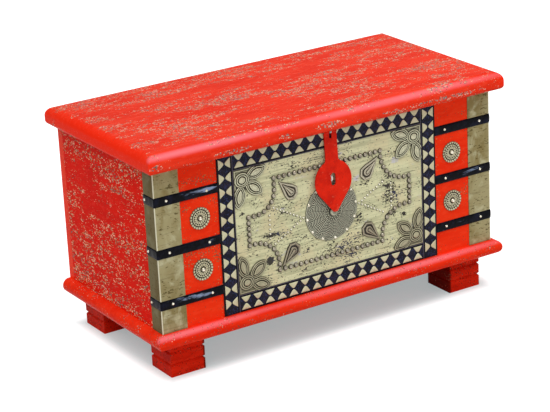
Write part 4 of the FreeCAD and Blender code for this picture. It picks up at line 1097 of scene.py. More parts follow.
@dataclass
class Carcass:
    """Front, back and end boards, base board and feet."""

    ends: tuple[str, ...] = ("left_end_lower_plank", "left_end_upper_plank",
                             "right_end_lower_plank", "right_end_upper_plank")
    boards: tuple[str, ...] = ("front_board", "back_board")
    base: tuple[str, ...] = ("base_board",)
    feet: tuple[str, ...] = ("foot_front_left", "foot_front_right", "foot_rear_left", "foot_rear_right")
    dowels: tuple[str, ...] = ("wall_dowels", "foot_dowels", "corner_dowels")

    def dress(self) -> None:
        """Paint the wood."""
        room = Room()
        seams = mirrored(Rub((-0.38, 0.0, 0.337), (0.02, 0.2, 0.006), 0.14))
        end_paint = WornPaint("end_worn_paint", Grain.DEPTH, sparse=0.11, dense=0.43, patch=(0.40, 0.56),
                              rubs=seams, room=room, colour=(234, 24, 3), deep=(222, 18, 2),
                              light=(238, 34, 8), fleck=(242, 202, 166), tan=(208, 158, 110),
                              dust=(128, 116, 110), speck=(104, 74, 50), fleck_size=450.0,
                              fleck_stretch=(1.0, 0.5, 1.0), gloss=0.008, specks=0.675)
        edges = face_rubs(-0.176, (-0.320, 0.25, 0.014, 0.22, 0.10), (0.320, 0.25, 0.014, 0.22, 0.12),
                          (-0.253, 0.25, 0.010, 0.22, 0.08), (0.253, 0.25, 0.010, 0.22, 0.12))
        board_paint = WornPaint("board_worn_paint", Grain.LENGTH, sparse=0.08, dense=0.36,
                                patch=(0.50, 0.64), colour=(248, 55, 20), deep=(240, 45, 14),
                                light=(250, 66, 32), fleck=(240, 184, 150), tan=(214, 132, 74),
                                dust=(126, 84, 60), rubs=edges, room=room)
        # Painted highlight: a pale pink band along the upper part of the base board's front rounding.
        rim_highlights = (Rub((-0.35, -0.1870, 0.0925), (0.30, 0.010, 0.009), 0.75),
                Rub((0.15, -0.1870, 0.0925), (0.45, 0.010, 0.009), 0.75))
        base_paint = WornPaint("base_worn_paint", Grain.LENGTH, sparse=0.06, dense=0.26, painted_highlights=rim_highlights,
                               gloss=0.012, room=room)
        # Painted shade: the feet's inner faces are a dark red, as where they lie in shade under the base.
        inner_faces = mirrored(Rub((-0.2876, 0.0, 0.034), (0.005, 1.0, 0.25), 0.95))
        foot_paint = WornPaint("foot_worn_paint", Grain.LENGTH, sparse=0.05, dense=0.26, gloss=0.01,
                               colour=(220, 38, 16), deep=(192, 26, 8), light=(228, 52, 28),
                               fleck=(206, 134, 108), tan=(140, 84, 62), dust=(96, 62, 52),
                               speck=(84, 32, 22), specks=0.655, shade=(100, 16, 5), shaded=inner_faces)
        for nodes, finish in ((self.ends, end_paint), (self.boards, board_paint), (self.base, base_paint),
                              (self.feet, foot_paint), (self.dowels, DowelWood())):
            dress(nodes, finish.material())


@dataclass
class CornerStrap:
    """One iron strap bent round a front corner, slightly crowned and hammered."""

    side: str
    level: str
    thickness: float = 2.6
    edge_drop: float = 0.8
    crown_power: float = 2.4
    edge_round: float = 0.5
    back_level: float = 0.3
    waves: Pair = (0.16, 0.12)
    wave_turns: Pair = (0.9, 0.37)
    front: float = -0.176
    end: float = 0.380
    front_steps: int = 46
    bend_steps: int = 8
    side_steps: int = 14
    across_steps: int = 12

    def build(self, material: Material) -> None:
        """Make the strap in place of its CAD node.

        Args:
            material: Its finish.
        """
        node = f"strap_{self.side}_{self.level}"
        low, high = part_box(node)
        sign = -1.0 if self.side == "left" else 1.0
        inner = min(abs(low.x), abs(high.x))
        middle, half = (low.z + high.z) / 2, (high.z - low.z) / 2

        spots: list[tuple[float, float, float, float]] = []
        for share in np.linspace(0, 1, self.front_steps):
            spots.append((inner + share * (self.end - inner), self.front, 0.0, -1.0))
        for share in np.linspace(0, 1, self.bend_steps + 2)[1:-1]:
            turn = share * math.pi / 2
            spots.append((self.end, self.front, math.sin(turn), -math.cos(turn)))
        for share in np.linspace(0, 1, self.side_steps):
            spots.append((self.end, self.front + share * (high.y - self.front), 1.0, 0.0))

        across = np.linspace(-1, 1, self.across_steps + 1)
        crown = self.thickness - self.edge_drop * np.abs(across) ** self.crown_power
        crown[[0, -1]] -= self.edge_round
        points = []
        for number, (x, y, out_x, out_y) in enumerate(spots):
            wave = self.waves[0] * math.sin(number * self.wave_turns[0])
            wave += self.waves[1] * math.sin(number * self.wave_turns[1] + len(self.level))
            loop = [(place, tall + wave * (1 - place * place)) for place, tall in zip(across, crown)]
            loop += [(1.0, self.back_level), (-1.0, self.back_level)]
            for place, tall in loop:
                out = tall * MM
                points.append((sign * (x + out_x * out), y + out_y * out, middle + place * half))
        ring = self.across_steps + 3
        faces = ring_faces(len(spots), ring)
        faces.append(tuple(range(ring)))
        faces.append(tuple(range((len(spots) - 1) * ring, len(spots) * ring))[::-1])
        if sign < 0:
            faces = [face[::-1] for face in faces]
        piece = new_piece(node + "_bent", np.array(points), faces, material)
        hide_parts(node)


@dataclass
class Rosette:
    """A scalloped rosette: a rim of beads, a ring of punched dots, petals and a middle dome."""

    side: str
    level: str
    radius: float = 21.9
    scallop: float = 1.5
    scallop_power: float = 1.5
    beads: Marks = Marks(1.2, 22, 19.2, 19.2, 2.0, 2.2)
    gaps: Marks = Marks(-0.9, 22, 17.6, 17.8, 1.2, 0.8, math.pi / 22)
    punched_dots: Marks = Marks(-2.4, 18, 12.2, 12.4, 1.6, 1.45)
    # Ridges and grooves: press, distance from the middle and width
    outer_groove: Triple = (-1.8, 16.0, 1.1)
    band: Triple = (0.8, 14.6, 0.7)
    dome_groove: Triple = (-2.2, 4.9, 1.3)
    petal_ring: Triple = (-0.25, 7.8, 2.0)
    flat_rise: float = 0.6
    flat_outer: Pair = (14.4, 13.6)
    flat_inner: Pair = (4.8, 6.0)
    petals: int = 12
    petal_gap: float = 0.95
    dome_radius: float = 3.8
    dome_base: float = 2.6
    dome_rise: float = 1.1
    sheet: float = 1.6
    floor: float = 0.15

    def outline(self, angles: Array) -> Array:
        """Return the scalloped edge's distance from the middle, in millimetres."""
        waves = np.abs(np.sin(angles * self.beads.count / 2)) ** self.scallop_power
        return self.radius - self.scallop * waves

    def heights(self, first: Array, second: Array) -> Array:
        """Press the beads, punched dots, petals and dome.

        Args:
            first: Places along the first axis, in millimetres.
            second: Places along the second axis, in millimetres.

        Returns:
            The height above the face that carries it, in millimetres.
        """
        away = np.hypot(first, second)
        angle = np.arctan2(second, first)
        tall = np.full(away.shape, self.sheet)
        for marks in (self.beads, self.gaps, self.punched_dots):
            tall += marks.heights(away, angle)
        for press, place, width in (self.outer_groove, self.band, self.dome_groove):
            tall += press * bell(away, place, width)
        tall += self.flat_rise * ramp(away, *self.flat_outer) * ramp(away, *self.flat_inner)
        spokes = turn_gap(angle, self.petals) * away
        press, place, width = self.petal_ring
        tall += press * bell(away, place, width) * bell(spokes, 0.0, self.petal_gap)
        dome = self.dome_base + self.dome_rise * np.sqrt(np.clip(1 - (away / self.dome_radius) ** 2, 0, 1))
        return np.where(away < self.dome_radius, dome, np.maximum(tall, self.floor))

    def build(self, material: Material) -> None:
        """Make the rosette in place of its CAD node.

        Args:
            material: Its finish.
        """
        node = f"rosette_{self.side}_{self.level}"
        low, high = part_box(node)
        plate = PressedPlate(node, ((low.x + high.x) / 2, (low.z + high.z) / 2), high.y, self.outline,
                             self.heights, steps=280, rings=44, even=1.5, contrast=0.36)
        plate.build(material)


@dataclass
class CornerDressing:
    """Brass corners, iron straps and rosettes on both sides of the front panel."""

    sides: tuple[str, ...] = ("left", "right")
    strap_levels: tuple[str, ...] = ("low", "middle", "top")
    rosette_levels: tuple[str, ...] = ("lower", "upper")

    def dress(self) -> None:
        """Finish the brass, then make the straps and rosettes."""
        dress(["brass_corner_" + side for side in self.sides], AgedBrass().material())
        iron = BlackIron().material()
        pressed = PressedMetal("rosette_pressed_metal", colour=(142, 133, 103), groove=(22, 18, 10),
                               ridge=(202, 195, 163), verdigris=(122, 115, 86)).material()
        for side in self.sides:
            for level in self.strap_levels:
                CornerStrap(side, level).build(iron)
            for level in self.rosette_levels:
                Rosette(side, level).build(pressed)


@dataclass
class BorderStrip:
    """One border strip with its raised cream shapes, which leave diamonds tip to tip between them."""

    node: str
    run: Run
    first: float
    count: int
    pitch: float
    outer: int
    base: float = 20.4
    depth: float = 11.6
    outer_inset: float = 3.4
    inner_inset: float = 4.9
    lift: float = 0.7
    apex_round: float = 0.45
    end_share: float = 0.97
    least_depth: float = 0.25
    edge_height: float = 0.15
    base_steps: int = 16
    depth_steps: int = 6

    def outline(self, share: Array) -> Array:
        """Shape one cream piece: deepest at its blunt apex, with curved sides.

        Args:
            share: Places along its base, from -1 to 1.

        Returns:
            Its depth at each place, in millimetres.
        """
        soft = self.apex_round
        full = math.hypot(1.0, soft)
        return self.depth * (full - np.hypot(share, soft)) / (full - soft)

    def tile(self) -> tuple[Array, list[Face]]:
        """Make one closed pillow shape.

        Returns:
            Its points, along its base, out from it and up in millimetres, and its faces.
        """
        places = np.linspace(-self.end_share, self.end_share, self.base_steps + 1)
        outs = np.linspace(0.0, 1.0, self.depth_steps + 1)
        deep = np.maximum(self.outline(places), self.least_depth)
        points = []
        for layer in (1, 0):
            for place, reach in zip(places, deep):
                for out in outs:
                    puff = math.sqrt(max(0.0, 1 - (2 * out - 1) ** 4)) * math.sqrt(max(0.0, 1 - place ** 6))
                    top = self.edge_height + (self.lift - self.edge_height) * puff
                    tall = top if layer else BACK_LEVEL
                    points.append((place * self.base / 2, out * reach, tall))
        row = self.depth_steps + 1
        total = (self.base_steps + 1) * row
        faces: list[Face] = []
        for step in range(self.base_steps):
            for out in range(self.depth_steps):
                corner = step * row + out
                under = total + corner
                faces.append((corner, corner + row, corner + row + 1, corner + 1))
                faces.append((under, under + 1, under + row + 1, under + row))
        loop = [step * row for step in range(self.base_steps + 1)]
        loop += [self.base_steps * row + out for out in range(1, row)]
        loop += [step * row + row - 1 for step in range(self.base_steps - 1, -1, -1)]
        loop += [out for out in range(row - 2, 0, -1)]
        for number, low in enumerate(loop):
            after = loop[(number + 1) % len(loop)]
            faces.append((after, low, total + low, total + after))
        return np.array(points), faces

    def build(self, material: Material) -> None:
        """Make all the strip's shapes as one piece.

        Args:
            material: Its finish.
        """
        low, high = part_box(self.node)
        tile, tile_faces = self.tile()
        points, faces = [], []
        for number in range(self.count):
            at = self.first + number * self.pitch
            for edge in (-1, 1):
                inset = (self.outer_inset if edge == self.outer else self.inner_inset) * MM
                if self.run is Run.UPRIGHT:
                    x = (high.x - inset if edge > 0 else low.x + inset) - edge * tile[:, 1] * MM
                    z = (at + tile[:, 0]) * MM
                    flip = edge < 0
                else:
                    x = (at + tile[:, 0]) * MM
                    z = (high.z - inset if edge > 0 else low.z + inset) - edge * tile[:, 1] * MM
                    flip = edge > 0
                start = sum(len(block) for block in points)
                points.append(np.column_stack([x, low.y - tile[:, 2] * MM, z]))
                for face in tile_faces:
                    moved = tuple(start + corner for corner in face)
                    faces.append(moved[::-1] if flip else moved)
        new_piece(self.node + "_tiles", np.concatenate(points), faces, material)


@dataclass
class FrontPanel:
    """The cream field and its four border strips."""

    strips: tuple[BorderStrip, ...] = (
        BorderStrip("border_left", Run.UPRIGHT, 121.0, 11, 27.5, -1),
        BorderStrip("border_right", Run.UPRIGHT, 121.0, 11, 27.5, 1),
        BorderStrip("border_top", Run.LEVEL, -199.5, 16, 26.6, 1),
        BorderStrip("border_bottom", Run.LEVEL, -199.5, 16, 26.6, -1),
    )

    def dress(self) -> None:
        """Finish the field and strips and make the raised shapes."""
        face = -0.1775
        rubs = face_rubs(
            face,
            (0.130, 0.285, 0.026, 0.022, 0.16),
            (0.138, 0.250, 0.030, 0.044, 0.12),
            (0.140, 0.212, 0.034, 0.014, 0.16),
            (0.168, 0.203, 0.012, 0.010, 0.34),
            (-0.142, 0.184, 0.014, 0.012, 0.36),
            (-0.130, 0.233, 0.034, 0.007, 0.20),
            (0.062, 0.222, 0.014, 0.018, 0.22),
            (-0.082, 0.360, 0.034, 0.012, 0.12),
            (-0.165, 0.305, 0.034, 0.022, 0.10),
            (-0.198, 0.290, 0.010, 0.006, 0.24),
            (-0.060, 0.185, 0.016, 0.012, 0.16),
            (0.030, 0.150, 0.070, 0.012, 0.08),
            (0.010, 0.178, 0.090, 0.024, 0.045),
            (-0.105, 0.275, 0.070, 0.040, 0.06),
            (0.045, 0.152, 0.012, 0.008, 0.10),
        )
        pale_spots = face_rubs(
            face,
            (-0.160, 0.254, 0.026, 0.020, 0.17),
            (0.150, 0.318, 0.018, 0.014, 0.14),
            (0.064, 0.300, 0.016, 0.018, 0.02),
            (-0.076, 0.270, 0.024, 0.010, 0.10),
            (-0.020, 0.215, 0.060, 0.030, 0.05),
        )
        dress(["field_panel"], CreamSheet(rubs=rubs, pale_spots=pale_spots).material())
        upright = DarkStrip("border_upright_ground", Run.UPRIGHT).material()
        level = DarkStrip("border_level_ground", Run.LEVEL).material()
        cream = CreamTile().material()
        for strip in self.strips:
            dress([strip.node], upright if strip.run is Run.UPRIGHT else level)
            strip.build(cream)


@dataclass
class CornerFlower:
    """A pressed corner sheet: a ringed boss and three leaves, filling the field's corner."""

    node: str
    side: int
    rise: int
    boss_in: float = 17.6
    boss_down: float = 21.6
    leaf_turns: tuple[float, ...] = (-18.0, 38.0, 102.0)
    leaf_reach: float = 32.5
    leaf_half_length: float = 23.0
    leaf_half_width: float = 13.0
    margin: float = 0.8
    boss_radius: float = 15.6
    collar: float = 19.0
    corner: Pair = (30.0, 34.0)
    # Strips along the edges: width, taper and length
    level_strip: Triple = (12.0, 0.16, 73.0)
    upright_strip: Triple = (11.0, 0.14, 74.0)
    # A ridge along the edges: press, distance from the edge and width
    edge_ridge: Triple = (0.5, 2.6, 0.9)
    sheet: float = 0.9
    boss_stretch: Pair = (0.94, 1.06)
    step: float = 0.2
    farthest: float = 80.0
    leaf_insets: tuple[float, ...] = (-1.0, 0.0, 0.8, 2.0, 2.8, 3.4, 4.2, 5.2, 6.0, 6.8, 8.0, 13.0)
    leaf_rises: tuple[float, ...] = (0.0, 0.3, 1.6, 1.6, 0.3, 0.3, 1.7, 1.7, 0.3, 0.3, 2.8, 3.6)
    boss_rings: tuple[float, ...] = (0.0, 4.5, 6.4, 7.6, 9.0, 10.4, 11.6, 13.0, 14.4, 15.6, 17.0)
    boss_rises: tuple[float, ...] = (4.6, 3.9, 2.6, 0.9, 2.6, 2.4, 1.0, 2.2, 1.9, 0.7, 0.7)

    def leaf_inset(self, first: Array, second: Array, turn: float) -> Array:
        """Find how far points lie inside a leaf of two bowed sides.

        Args:
            first: Places from the boss along the first axis, in millimetres.
            second: Places along the second axis, in millimetres.
            turn: The leaf's direction, in degrees.

        Returns:
            The distance inside the leaf's edge, in millimetres, below 0 outside it.
        """
        angle = math.radians(turn)
        along = first * math.cos(angle) + second * math.sin(angle) - self.leaf_reach
        across = -first * math.sin(angle) + second * math.cos(angle)
        bow = (self.leaf_half_length ** 2 + self.leaf_half_width ** 2) / (2 * self.leaf_half_width)
        shift = bow - self.leaf_half_width
        return bow - np.hypot(along, np.abs(across) + shift)

    def in_sheet(self, first: Array, second: Array) -> Array:
        """Find which points lie on the sheet: boss, corner piece, two edge strips and leaves.

        Args:
            first: Places from the boss along the first axis, in millimetres.
            second: Places along the second axis, in millimetres.

        Returns:
            True for each point on the sheet.
        """
        into, down = first + self.boss_in, second + self.boss_down
        inside = np.hypot(first, second) < self.collar
        inside |= (into < self.corner[0]) & (down < self.corner[1])
        for (width, taper, length), along, across in ((self.level_strip, into, down),
                                                      (self.upright_strip, down, into)):
            inside |= (across < width - taper * along) & (along < length)
        for turn in self.leaf_turns:
            inside |= self.leaf_inset(first, second, turn) > 0
        return inside & (into > self.margin) & (down > self.margin)

    def outline(self, angles: Array) -> Array:
        """Return the distance from the boss's middle to the sheet's edge, in millimetres."""
        return stepped_edge(angles, self.step, self.farthest, self.in_sheet)

    def heights(self, first: Array, second: Array) -> Array:
        """Press the ringed boss and the stepped leaves.

        Args:
            first: Places along the first axis, in millimetres.
            second: Places along the second axis, in millimetres.

        Returns:
            The height above the face that carries it, in millimetres.
        """
        away = np.hypot(first * self.boss_stretch[0], second * self.boss_stretch[1])
        tall = np.full(away.shape, self.sheet)
        into, down = first + self.boss_in, second + self.boss_down
        press, place, width = self.edge_ridge
        tall += press * bell(np.minimum(into, down), place, width)
        for turn in self.leaf_turns:
            inset = self.leaf_inset(first, second, turn)
            leaf = self.sheet + np.interp(inset, self.leaf_insets, self.leaf_rises)
            tall = np.maximum(tall, np.where(inset > self.leaf_insets[0], leaf, 0.0))
        boss = np.interp(away, self.boss_rings, self.boss_rises)
        return np.where(away < self.boss_radius, boss, tall)

    def build(self, material: Material) -> None:
        """Make the sheet in place of its CAD node.

        Args:
            material: Its finish.
        """
        low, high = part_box("field_panel")
        x = high.x - self.boss_in * MM if self.side > 0 else low.x + self.boss_in * MM
        z = high.z - self.boss_down * MM if self.rise > 0 else low.z + self.boss_down * MM
        plate = PressedPlate(self.node, (x, z), low.y, self.outline, self.heights,
                             (-float(self.side), 0.0), (0.0, -float(self.rise)), steps=480, rings=72,
                             round_zone=self.boss_radius, even=2.2, contrast=0.46, rubbed_above=3.3)
        plate.build(material)


@dataclass
class Teardrop:
    """A pressed drop with a blunt, angular head, a broad rim and a ridged core."""

    node: str
    side: int
    rise: int
    tip: float = 37.0
    shoulder: Pair = (7.0, 13.0)
    cheek: Pair = (-5.0, 15.5)
    head: Pair = (-15.5, 7.0)
    round_radius: float = 15.5
    core_radius: float = 9.0
    core_length: float = 27.0
    core_end: float = 24.0
    core_edge: float = 1.25
    core_lift: float = 3.4
    core_least: float = 0.6
    step: float = 0.1
    farthest: float = 40.0
    rim_insets: tuple[float, ...] = (0.0, 0.7, 1.8, 3.6, 5.0, 20.0)
    rim_rises: tuple[float, ...] = (0.8, 1.9, 2.6, 2.5, 1.7, 1.7)
    core_steps: tuple[float, ...] = (0.0, 0.22, 0.40, 0.55, 0.75, 0.90, 1.10, 1.25)
    core_rises: tuple[float, ...] = (5.2, 4.8, 3.4, 3.6, 3.0, 0.9, 0.9, 2.0)

    def corners(self) -> Array:
        """List the outline's corners, from the tip round.

        Returns:
            Their places along and across the drop, in millimetres.
        """
        upper = [self.shoulder, self.cheek, self.head]
        lower = [(along, -across) for along, across in reversed(upper)]
        return np.array([(self.tip, 0.0), *upper, *lower])

    def inset(self, first: Array, second: Array) -> Array:
        """Find how far points lie inside the outline's straight sides.

        Args:
            first: Places along the first axis, in millimetres.
            second: Places along the second axis, in millimetres.

        Returns:
            The distance from the nearest side, in millimetres, below 0 outside it.
        """
        corners = self.corners()
        best = np.full(first.shape, 1e3)
        for number, start in enumerate(corners):
            run = corners[(number + 1) % len(corners)] - start
            long = math.hypot(run[0], run[1])
            best = np.minimum(best, (-(first - start[0]) * run[1] + (second - start[1]) * run[0]) / long)
        return best

    def in_drop(self, first: Array, second: Array) -> Array:
        """Return True for each point inside the outline."""
        return self.inset(first, second) > 0

    def outline(self, angles: Array) -> Array:
        """Return the distance from the body's middle to the drop's edge, in millimetres."""
        return stepped_edge(angles, self.step, self.farthest, self.in_drop)

    def heights(self, first: Array, second: Array) -> Array:
        """Press the rim and the ridged core.

        Args:
            first: Places along the first axis, in millimetres.
            second: Places along the second axis, in millimetres.

        Returns:
            The height above the face that carries it, in millimetres.
        """
        inset = self.inset(first, second)
        tall = np.interp(inset, self.rim_insets, self.rim_rises)
        along = np.clip(first, 0.0, self.core_end)
        wide = self.core_radius * (1 - along / self.core_length)
        core = np.hypot(first - along, second) / np.maximum(wide, self.core_least)
        shape = np.interp(core, self.core_steps, self.core_rises)
        return np.where(core < self.core_edge, np.minimum(shape, tall + self.core_lift), tall)

    def build(self, material: Material) -> None:
        """Make the drop in place of its CAD node, its tip towards the nail frame's corner.

        Args:
            material: Its finish.
        """
        low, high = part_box(self.node)
        inset = self.round_radius * MM
        x = low.x + inset if self.side > 0 else high.x - inset
        z = low.z + inset if self.rise > 0 else high.z - inset
        half = math.sqrt(0.5)
        out = (self.side * half, self.rise * half)
        plate = PressedPlate(self.node, (x, z), high.y, self.outline, self.heights, out, (-out[1], out[0]),
                             steps=240, rings=40, even=2.0, contrast=0.6, rubbed_above=3.8)
        plate.build(material)


@dataclass
class CentreDisc:
    """The round disc: a ribbed fan at each edge nail, petals with slanted ribs, dots and a middle boss."""

    node: str = "centre_disc"
    radius: float = 59.0
    rim: float = 1.5
    edge_round: float = 0.8
    edge_drop: float = 1.2
    line_width: float = 0.8
    fade: float = 1.5
    dome_radius: float = 51.0
    dome_rise: float = 5.0
    boss_radius: float = 8.0
    boss_height: float = 12.6
    boss_cap: float = 4.0
    outer_dots: Marks = Marks(0.9, 20, 16.2, 16.2, 1.2, 1.3)
    inner_dots: Marks = Marks(0.9, 14, 12.2, 12.2, 1.2, 1.3)
    fans: int = 12
    fan_turn: float = 6.0
    fan_reach: float = 15.0
    fan_ribs: int = 22
    fan_press: float = 0.3
    ray_start: Pair = (4.0, 7.0)
    petals: int = 14
    petal_start: float = 20.0
    petal_ring: float = 0.7
    rib_turn: float = 1.9
    rib_slant: float = 5.0
    rib_press: float = 0.4
    seam_press: float = 0.5

    def outline(self, angles: Array) -> Array:
        """Return the edge's distance from the middle, in millimetres."""
        return np.full(angles.shape, self.radius)

    def heights(self, first: Array, second: Array) -> Array:
        """Press the fans, petals, dots and boss on a shallow dome.

        Args:
            first: Places along the first axis, in millimetres.
            second: Places along the second axis, in millimetres.

        Returns:
            The height above the face that carries it, in millimetres.
        """
        away = np.hypot(first, second)
        angle = np.arctan2(second, first)
        tall = self.rim + self.dome_rise * np.clip(1 - (away / self.dome_radius) ** 2, 0, 1)
        tall -= self.edge_drop * ramp(away, self.radius - self.edge_round, self.radius)

        fan = turn_gap(angle, self.fans, math.radians(self.fan_turn))
        fan_in, fan_side = self.radius - away * np.cos(fan), away * np.sin(fan)
        fan_away = np.hypot(fan_in, fan_side)
        in_fan = ramp(fan_away, self.fan_reach, self.fan_reach - self.fade)
        rays = np.cos(np.arctan2(fan_side, fan_in) * self.fan_ribs) * ramp(fan_away, *self.ray_start)
        tall += self.fan_press * in_fan * rays
        tall += self.fan_press * bell(fan_away, self.fan_reach, self.line_width)

        leaf = np.abs(turn_gap(angle, self.petals)) * self.petals / math.pi
        seam = turn_gap(angle, self.petals, math.pi / self.petals) * away
        in_petal = ramp(away, self.petal_start, self.petal_start + self.fade) * (1 - in_fan)
        in_petal *= ramp(away, self.radius - self.fade, self.radius - self.fade - 1.0)
        ribs = self.rib_press * np.cos(away * self.rib_turn + self.rib_slant * leaf)
        tall += in_petal * (ribs - self.seam_press * bell(seam, 0.0, self.line_width))
        tall += self.petal_ring * bell(away, self.petal_start - self.line_width, self.line_width)

        for marks in (self.outer_dots, self.inner_dots):
            tall += marks.heights(away, angle)

        cap = np.sqrt(np.clip(1 - (away / self.boss_radius) ** 2, 0, 1))
        boss = self.boss_height - self.boss_cap + self.boss_cap * cap
        return np.where(away < self.boss_radius, boss, tall)

    def build(self, material: Material) -> None:
        """Make the disc in place of its CAD node.

        Args:
            material: Its finish.
        """
        low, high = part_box(self.node)
        plate = PressedPlate(self.node, (0.0, (low.z + high.z) / 2), high.y, self.outline, self.heights,
                             steps=624, rings=100, even=1.5, contrast=0.31)
        plate.build(material)


@dataclass
class PressedOrnaments:
    """Corner flowers, teardrops and the disc on the cream field."""

    sides: tuple[tuple[str, int], ...] = (("left", -1), ("right", 1))

    def dress(self) -> None:
        """Make the ornaments, the upper ones in a paler finish than the lower ones."""
        upper_flower = PressedMetal("upper_flower_metal", colour=(130, 127, 100), groove=(38, 35, 23),
                                    ridge=(200, 198, 168), verdigris=(116, 115, 87))
        lower_flower = PressedMetal("lower_flower_metal", colour=(120, 114, 90), groove=(38, 34, 22),
                                    ridge=(172, 166, 136), verdigris=(108, 104, 78))
        upper_drop = PressedMetal("upper_drop_metal", colour=(132, 123, 104), groove=(44, 36, 25),
                                  ridge=(184, 177, 154), verdigris=(122, 114, 94))
        lower_drop = PressedMetal("lower_drop_metal", colour=(104, 95, 78), groove=(34, 28, 20),
                                  ridge=(154, 145, 122), verdigris=(96, 88, 72))
        for row, rise, flower, drop in (("top", 1, upper_flower, upper_drop),
                                        ("bottom", -1, lower_flower, lower_drop)):
            flower_metal = flower.material()
            drop_metal = drop.material()
            for end, side in self.sides:
                CornerFlower(f"corner_flower_{row}_{end}", side, rise).build(flower_metal)
                Teardrop(f"teardrop_{row}_{end}", side, rise).build(drop_metal)
        disc = PressedMetal("disc_pressed_metal", colour=(116, 115, 95), groove=(42, 41, 32),
                            ridge=(182, 181, 159), verdigris=(104, 106, 88), stipple_share=0.6)
        CentreDisc().build(disc.material())


@dataclass
class NailWork:
    """All the domed nails, bright on iron and rosettes, dull round the field."""

    bright: tuple[str, ...] = ("strap_nails", "rosette_nails", "disc_nails")
    dull: tuple[str, ...] = ("frame_nails",)
    small: tuple[str, ...] = ("dot_nails",)

    def dress(self) -> None:
        """Finish the nails."""
        dress(self.bright, NailMetal("bright_nail_metal", (236, 232, 214), (210, 204, 180)).material())
        dress(self.dull, NailMetal("dull_nail_metal", (176, 168, 148), (138, 129, 110), (40, 34, 24),
                                   roughness=0.24, metallic=0.3, painted_rim_shade=(0.08, 0.50)).material())
        dress(self.small, NailMetal("small_nail_metal", (252, 248, 226), (230, 224, 198), (44, 38, 26),
                                    metallic=0.2, painted_rim_shade=(0.12, 0.48)).material())


@dataclass
class Fittings:
    """The hasp with its eye, pin and staple, and the hinges."""

    hasp: tuple[str, ...] = ("hasp",)
    staple: tuple[str, ...] = ("staple",)
    steel: tuple[str, ...] = ("hasp_pin", "hasp_eye", "hinge_pin_left", "hinge_pin_right",
                              "hinge_fixed_leaf_left", "hinge_fixed_leaf_right", "hinge_moving_leaf_left",
                              "hinge_moving_leaf_right", "hinge_screws_box", "hinge_screws_lid")

    def dress(self) -> None:
        """Finish the fittings."""
        dress(self.hasp, PaintedMetal().material())
        dress(self.staple, NailMetal("staple_bright_metal", (255, 253, 248), (244, 240, 230),
                                     grime_and_shade_reach=1.0, metallic=0.05).material())
        dress(self.steel, DullSteel().material())


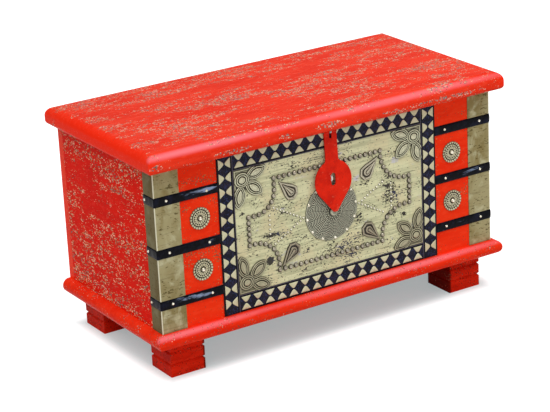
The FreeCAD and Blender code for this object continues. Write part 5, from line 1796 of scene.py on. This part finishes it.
@dataclass
class Stage:
    """The pale floor, the soft light and the camera at the photograph's angle."""

    floor_half: float = 14.0
    floor_colour: Colour = (209, 209, 209)
    shade_glow: Triple = (0.26, 0.345, 0.35)
    open_glow: Triple = (0.85, 0.85, 0.85)
    shade_half: Pair = (0.355, 0.165)
    shade_fade: float = 0.05
    sky: float = 0.46
    key_strength: float = 0.42
    key_angle: float = 40.0
    key_from: Triple = (-0.40, -0.28, 0.87)
    front_power: float = 10.0
    front_from: Triple = (-0.5, -3.0, 1.0)
    front_size: float = 1.3
    over_power: float = 10.0
    over_from: Triple = (0.6, -0.95, 2.2)
    over_size: float = 0.42
    softbox_target: Triple = (0.0, -0.1, 0.25)
    lens: float = 139.8
    sensor: float = 36.0
    camera_place: Triple = (-2.10031, -3.35664, 1.65461)
    turn: float = 0.55586
    tilt: float = 0.34980
    roll: float = -0.04998

    def seen(self, tree: FinishTree) -> Socket:
        """Tell the rays that see the floor from light that spreads.

        Args:
            tree: The floor's material.

        Returns:
            1 for rays from the camera, a gloss or a clear piece, and 0 for others.
        """
        path = tree.nodes.new("ShaderNodeLightPath")
        total = tree.math("MAXIMUM", path.outputs["Is Camera Ray"], path.outputs["Is Glossy Ray"])
        return tree.math("MAXIMUM", total, path.outputs["Is Transmission Ray"])

    def lay_floor(self) -> None:
        """Lay a wide pale floor that looks white, with a painted shade under the chest: there it glows
        less, in a cool grey that offsets the red light thrown down from the chest.
        """
        half = self.floor_half
        mesh = bpy.data.meshes.new("floor")
        mesh.from_pydata([(-half, -half, 0), (half, -half, 0), (half, half, 0), (-half, half, 0)], [],
                         [(0, 1, 2, 3)])
        floor = bpy.data.objects.new("floor", mesh)
        bpy.context.scene.collection.objects.link(floor)
        tree = FinishTree("pale_floor")
        x, y, _ = tree.axes()
        past_end = tree.math("SUBTRACT", tree.math("ABSOLUTE", x), self.shade_half[0])
        past_side = tree.math("SUBTRACT", tree.math("ABSOLUTE", y), self.shade_half[1])
        outside = tree.math("MAXIMUM", past_end, past_side)
        # Painted shade: the glow is a cool grey inside the chest's footprint and white outside it.
        mix = tree.make("Mix", {"Factor": tree.rise(outside, 0.0, self.shade_fade)}, data_type="RGBA")
        mix.inputs[6].default_value = self.shade_glow + (1.0,)
        mix.inputs[7].default_value = self.open_glow + (1.0,)
        tree.links.new(mix.outputs[2], tree.shader.inputs["Emission Color"])
        tree.links.new(self.seen(tree), tree.shader.inputs["Emission Strength"])
        mesh.materials.append(tree.finish(self.floor_colour, 1.0, gloss=0.0))

    def light(self) -> None:
        """Set an even sky, a broad key light from the upper left and soft lights in front and above."""
        world = bpy.data.worlds.new("studio")
        bpy.context.scene.world = world
        world.use_nodes = True
        background = world.node_tree.nodes["Background"]
        background.inputs["Color"].default_value = (1.0, 1.0, 1.0, 1.0)
        background.inputs["Strength"].default_value = self.sky
        key = bpy.data.lights.new("key", "SUN")
        key.energy = self.key_strength * math.pi
        key.angle = math.radians(self.key_angle)
        self.aim(key, self.key_from, UNMOVED)
        for name, power, size, place in (
                ("front_softbox", self.front_power, self.front_size, self.front_from),
                ("over_softbox", self.over_power, self.over_size, self.over_from)):
            lamp = bpy.data.lights.new(name, "AREA")
            lamp.energy = power
            lamp.size = size
            self.aim(lamp, place, self.softbox_target)

    def aim(self, lamp: bpy.types.Light, place: Triple, target: Triple) -> None:
        """Hang a lamp and turn it.

        Args:
            lamp: The lamp.
            place: Where it hangs.
            target: The point that it is turned to.
        """
        lamp_object = bpy.data.objects.new(lamp.name, lamp)
        bpy.context.scene.collection.objects.link(lamp_object)
        lamp_object.location = place
        gaze = Vector(target) - Vector(place)
        lamp_object.rotation_euler = gaze.to_track_quat("-Z", "Y").to_euler()

    def set_camera(self) -> None:
        """Stand the camera where the photograph was taken from."""
        gaze = Vector((math.sin(self.turn) * math.cos(self.tilt), math.cos(self.turn) * math.cos(self.tilt),
                       -math.sin(self.tilt)))
        right = gaze.cross(Vector((0, 0, 1))).normalized()
        over = right.cross(gaze)
        cos, sin = math.cos(self.roll), math.sin(self.roll)
        across = right * cos + over * sin
        upward = over * cos - right * sin
        camera = bpy.data.cameras.new("photo_camera")
        camera.lens = self.lens
        camera.sensor_width = self.sensor
        camera_object = bpy.data.objects.new("photo_camera", camera)
        bpy.context.scene.collection.objects.link(camera_object)
        turn = Matrix((across, upward, -gaze)).transposed()
        camera_object.matrix_world = Matrix.Translation(self.camera_place) @ turn.to_4x4()
        bpy.context.scene.camera = camera_object
        bpy.context.scene.view_settings.view_transform = "Standard"

    def build(self) -> None:
        """Make the floor, the light and the camera."""
        self.lay_floor()
        self.light()
        self.set_camera()


def main() -> None:
    """Build and dress the chest, then set the stage."""
    logging.basicConfig(level=logging.INFO)
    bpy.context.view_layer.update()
    parts = (Lid(), Carcass(), CornerDressing(), FrontPanel(), PressedOrnaments(), NailWork(), Fittings())
    for part in parts:
        LOG.info("making %s", type(part).__name__)
        part.dress()
    Stage().build()


if __name__ == "__main__":
    main()
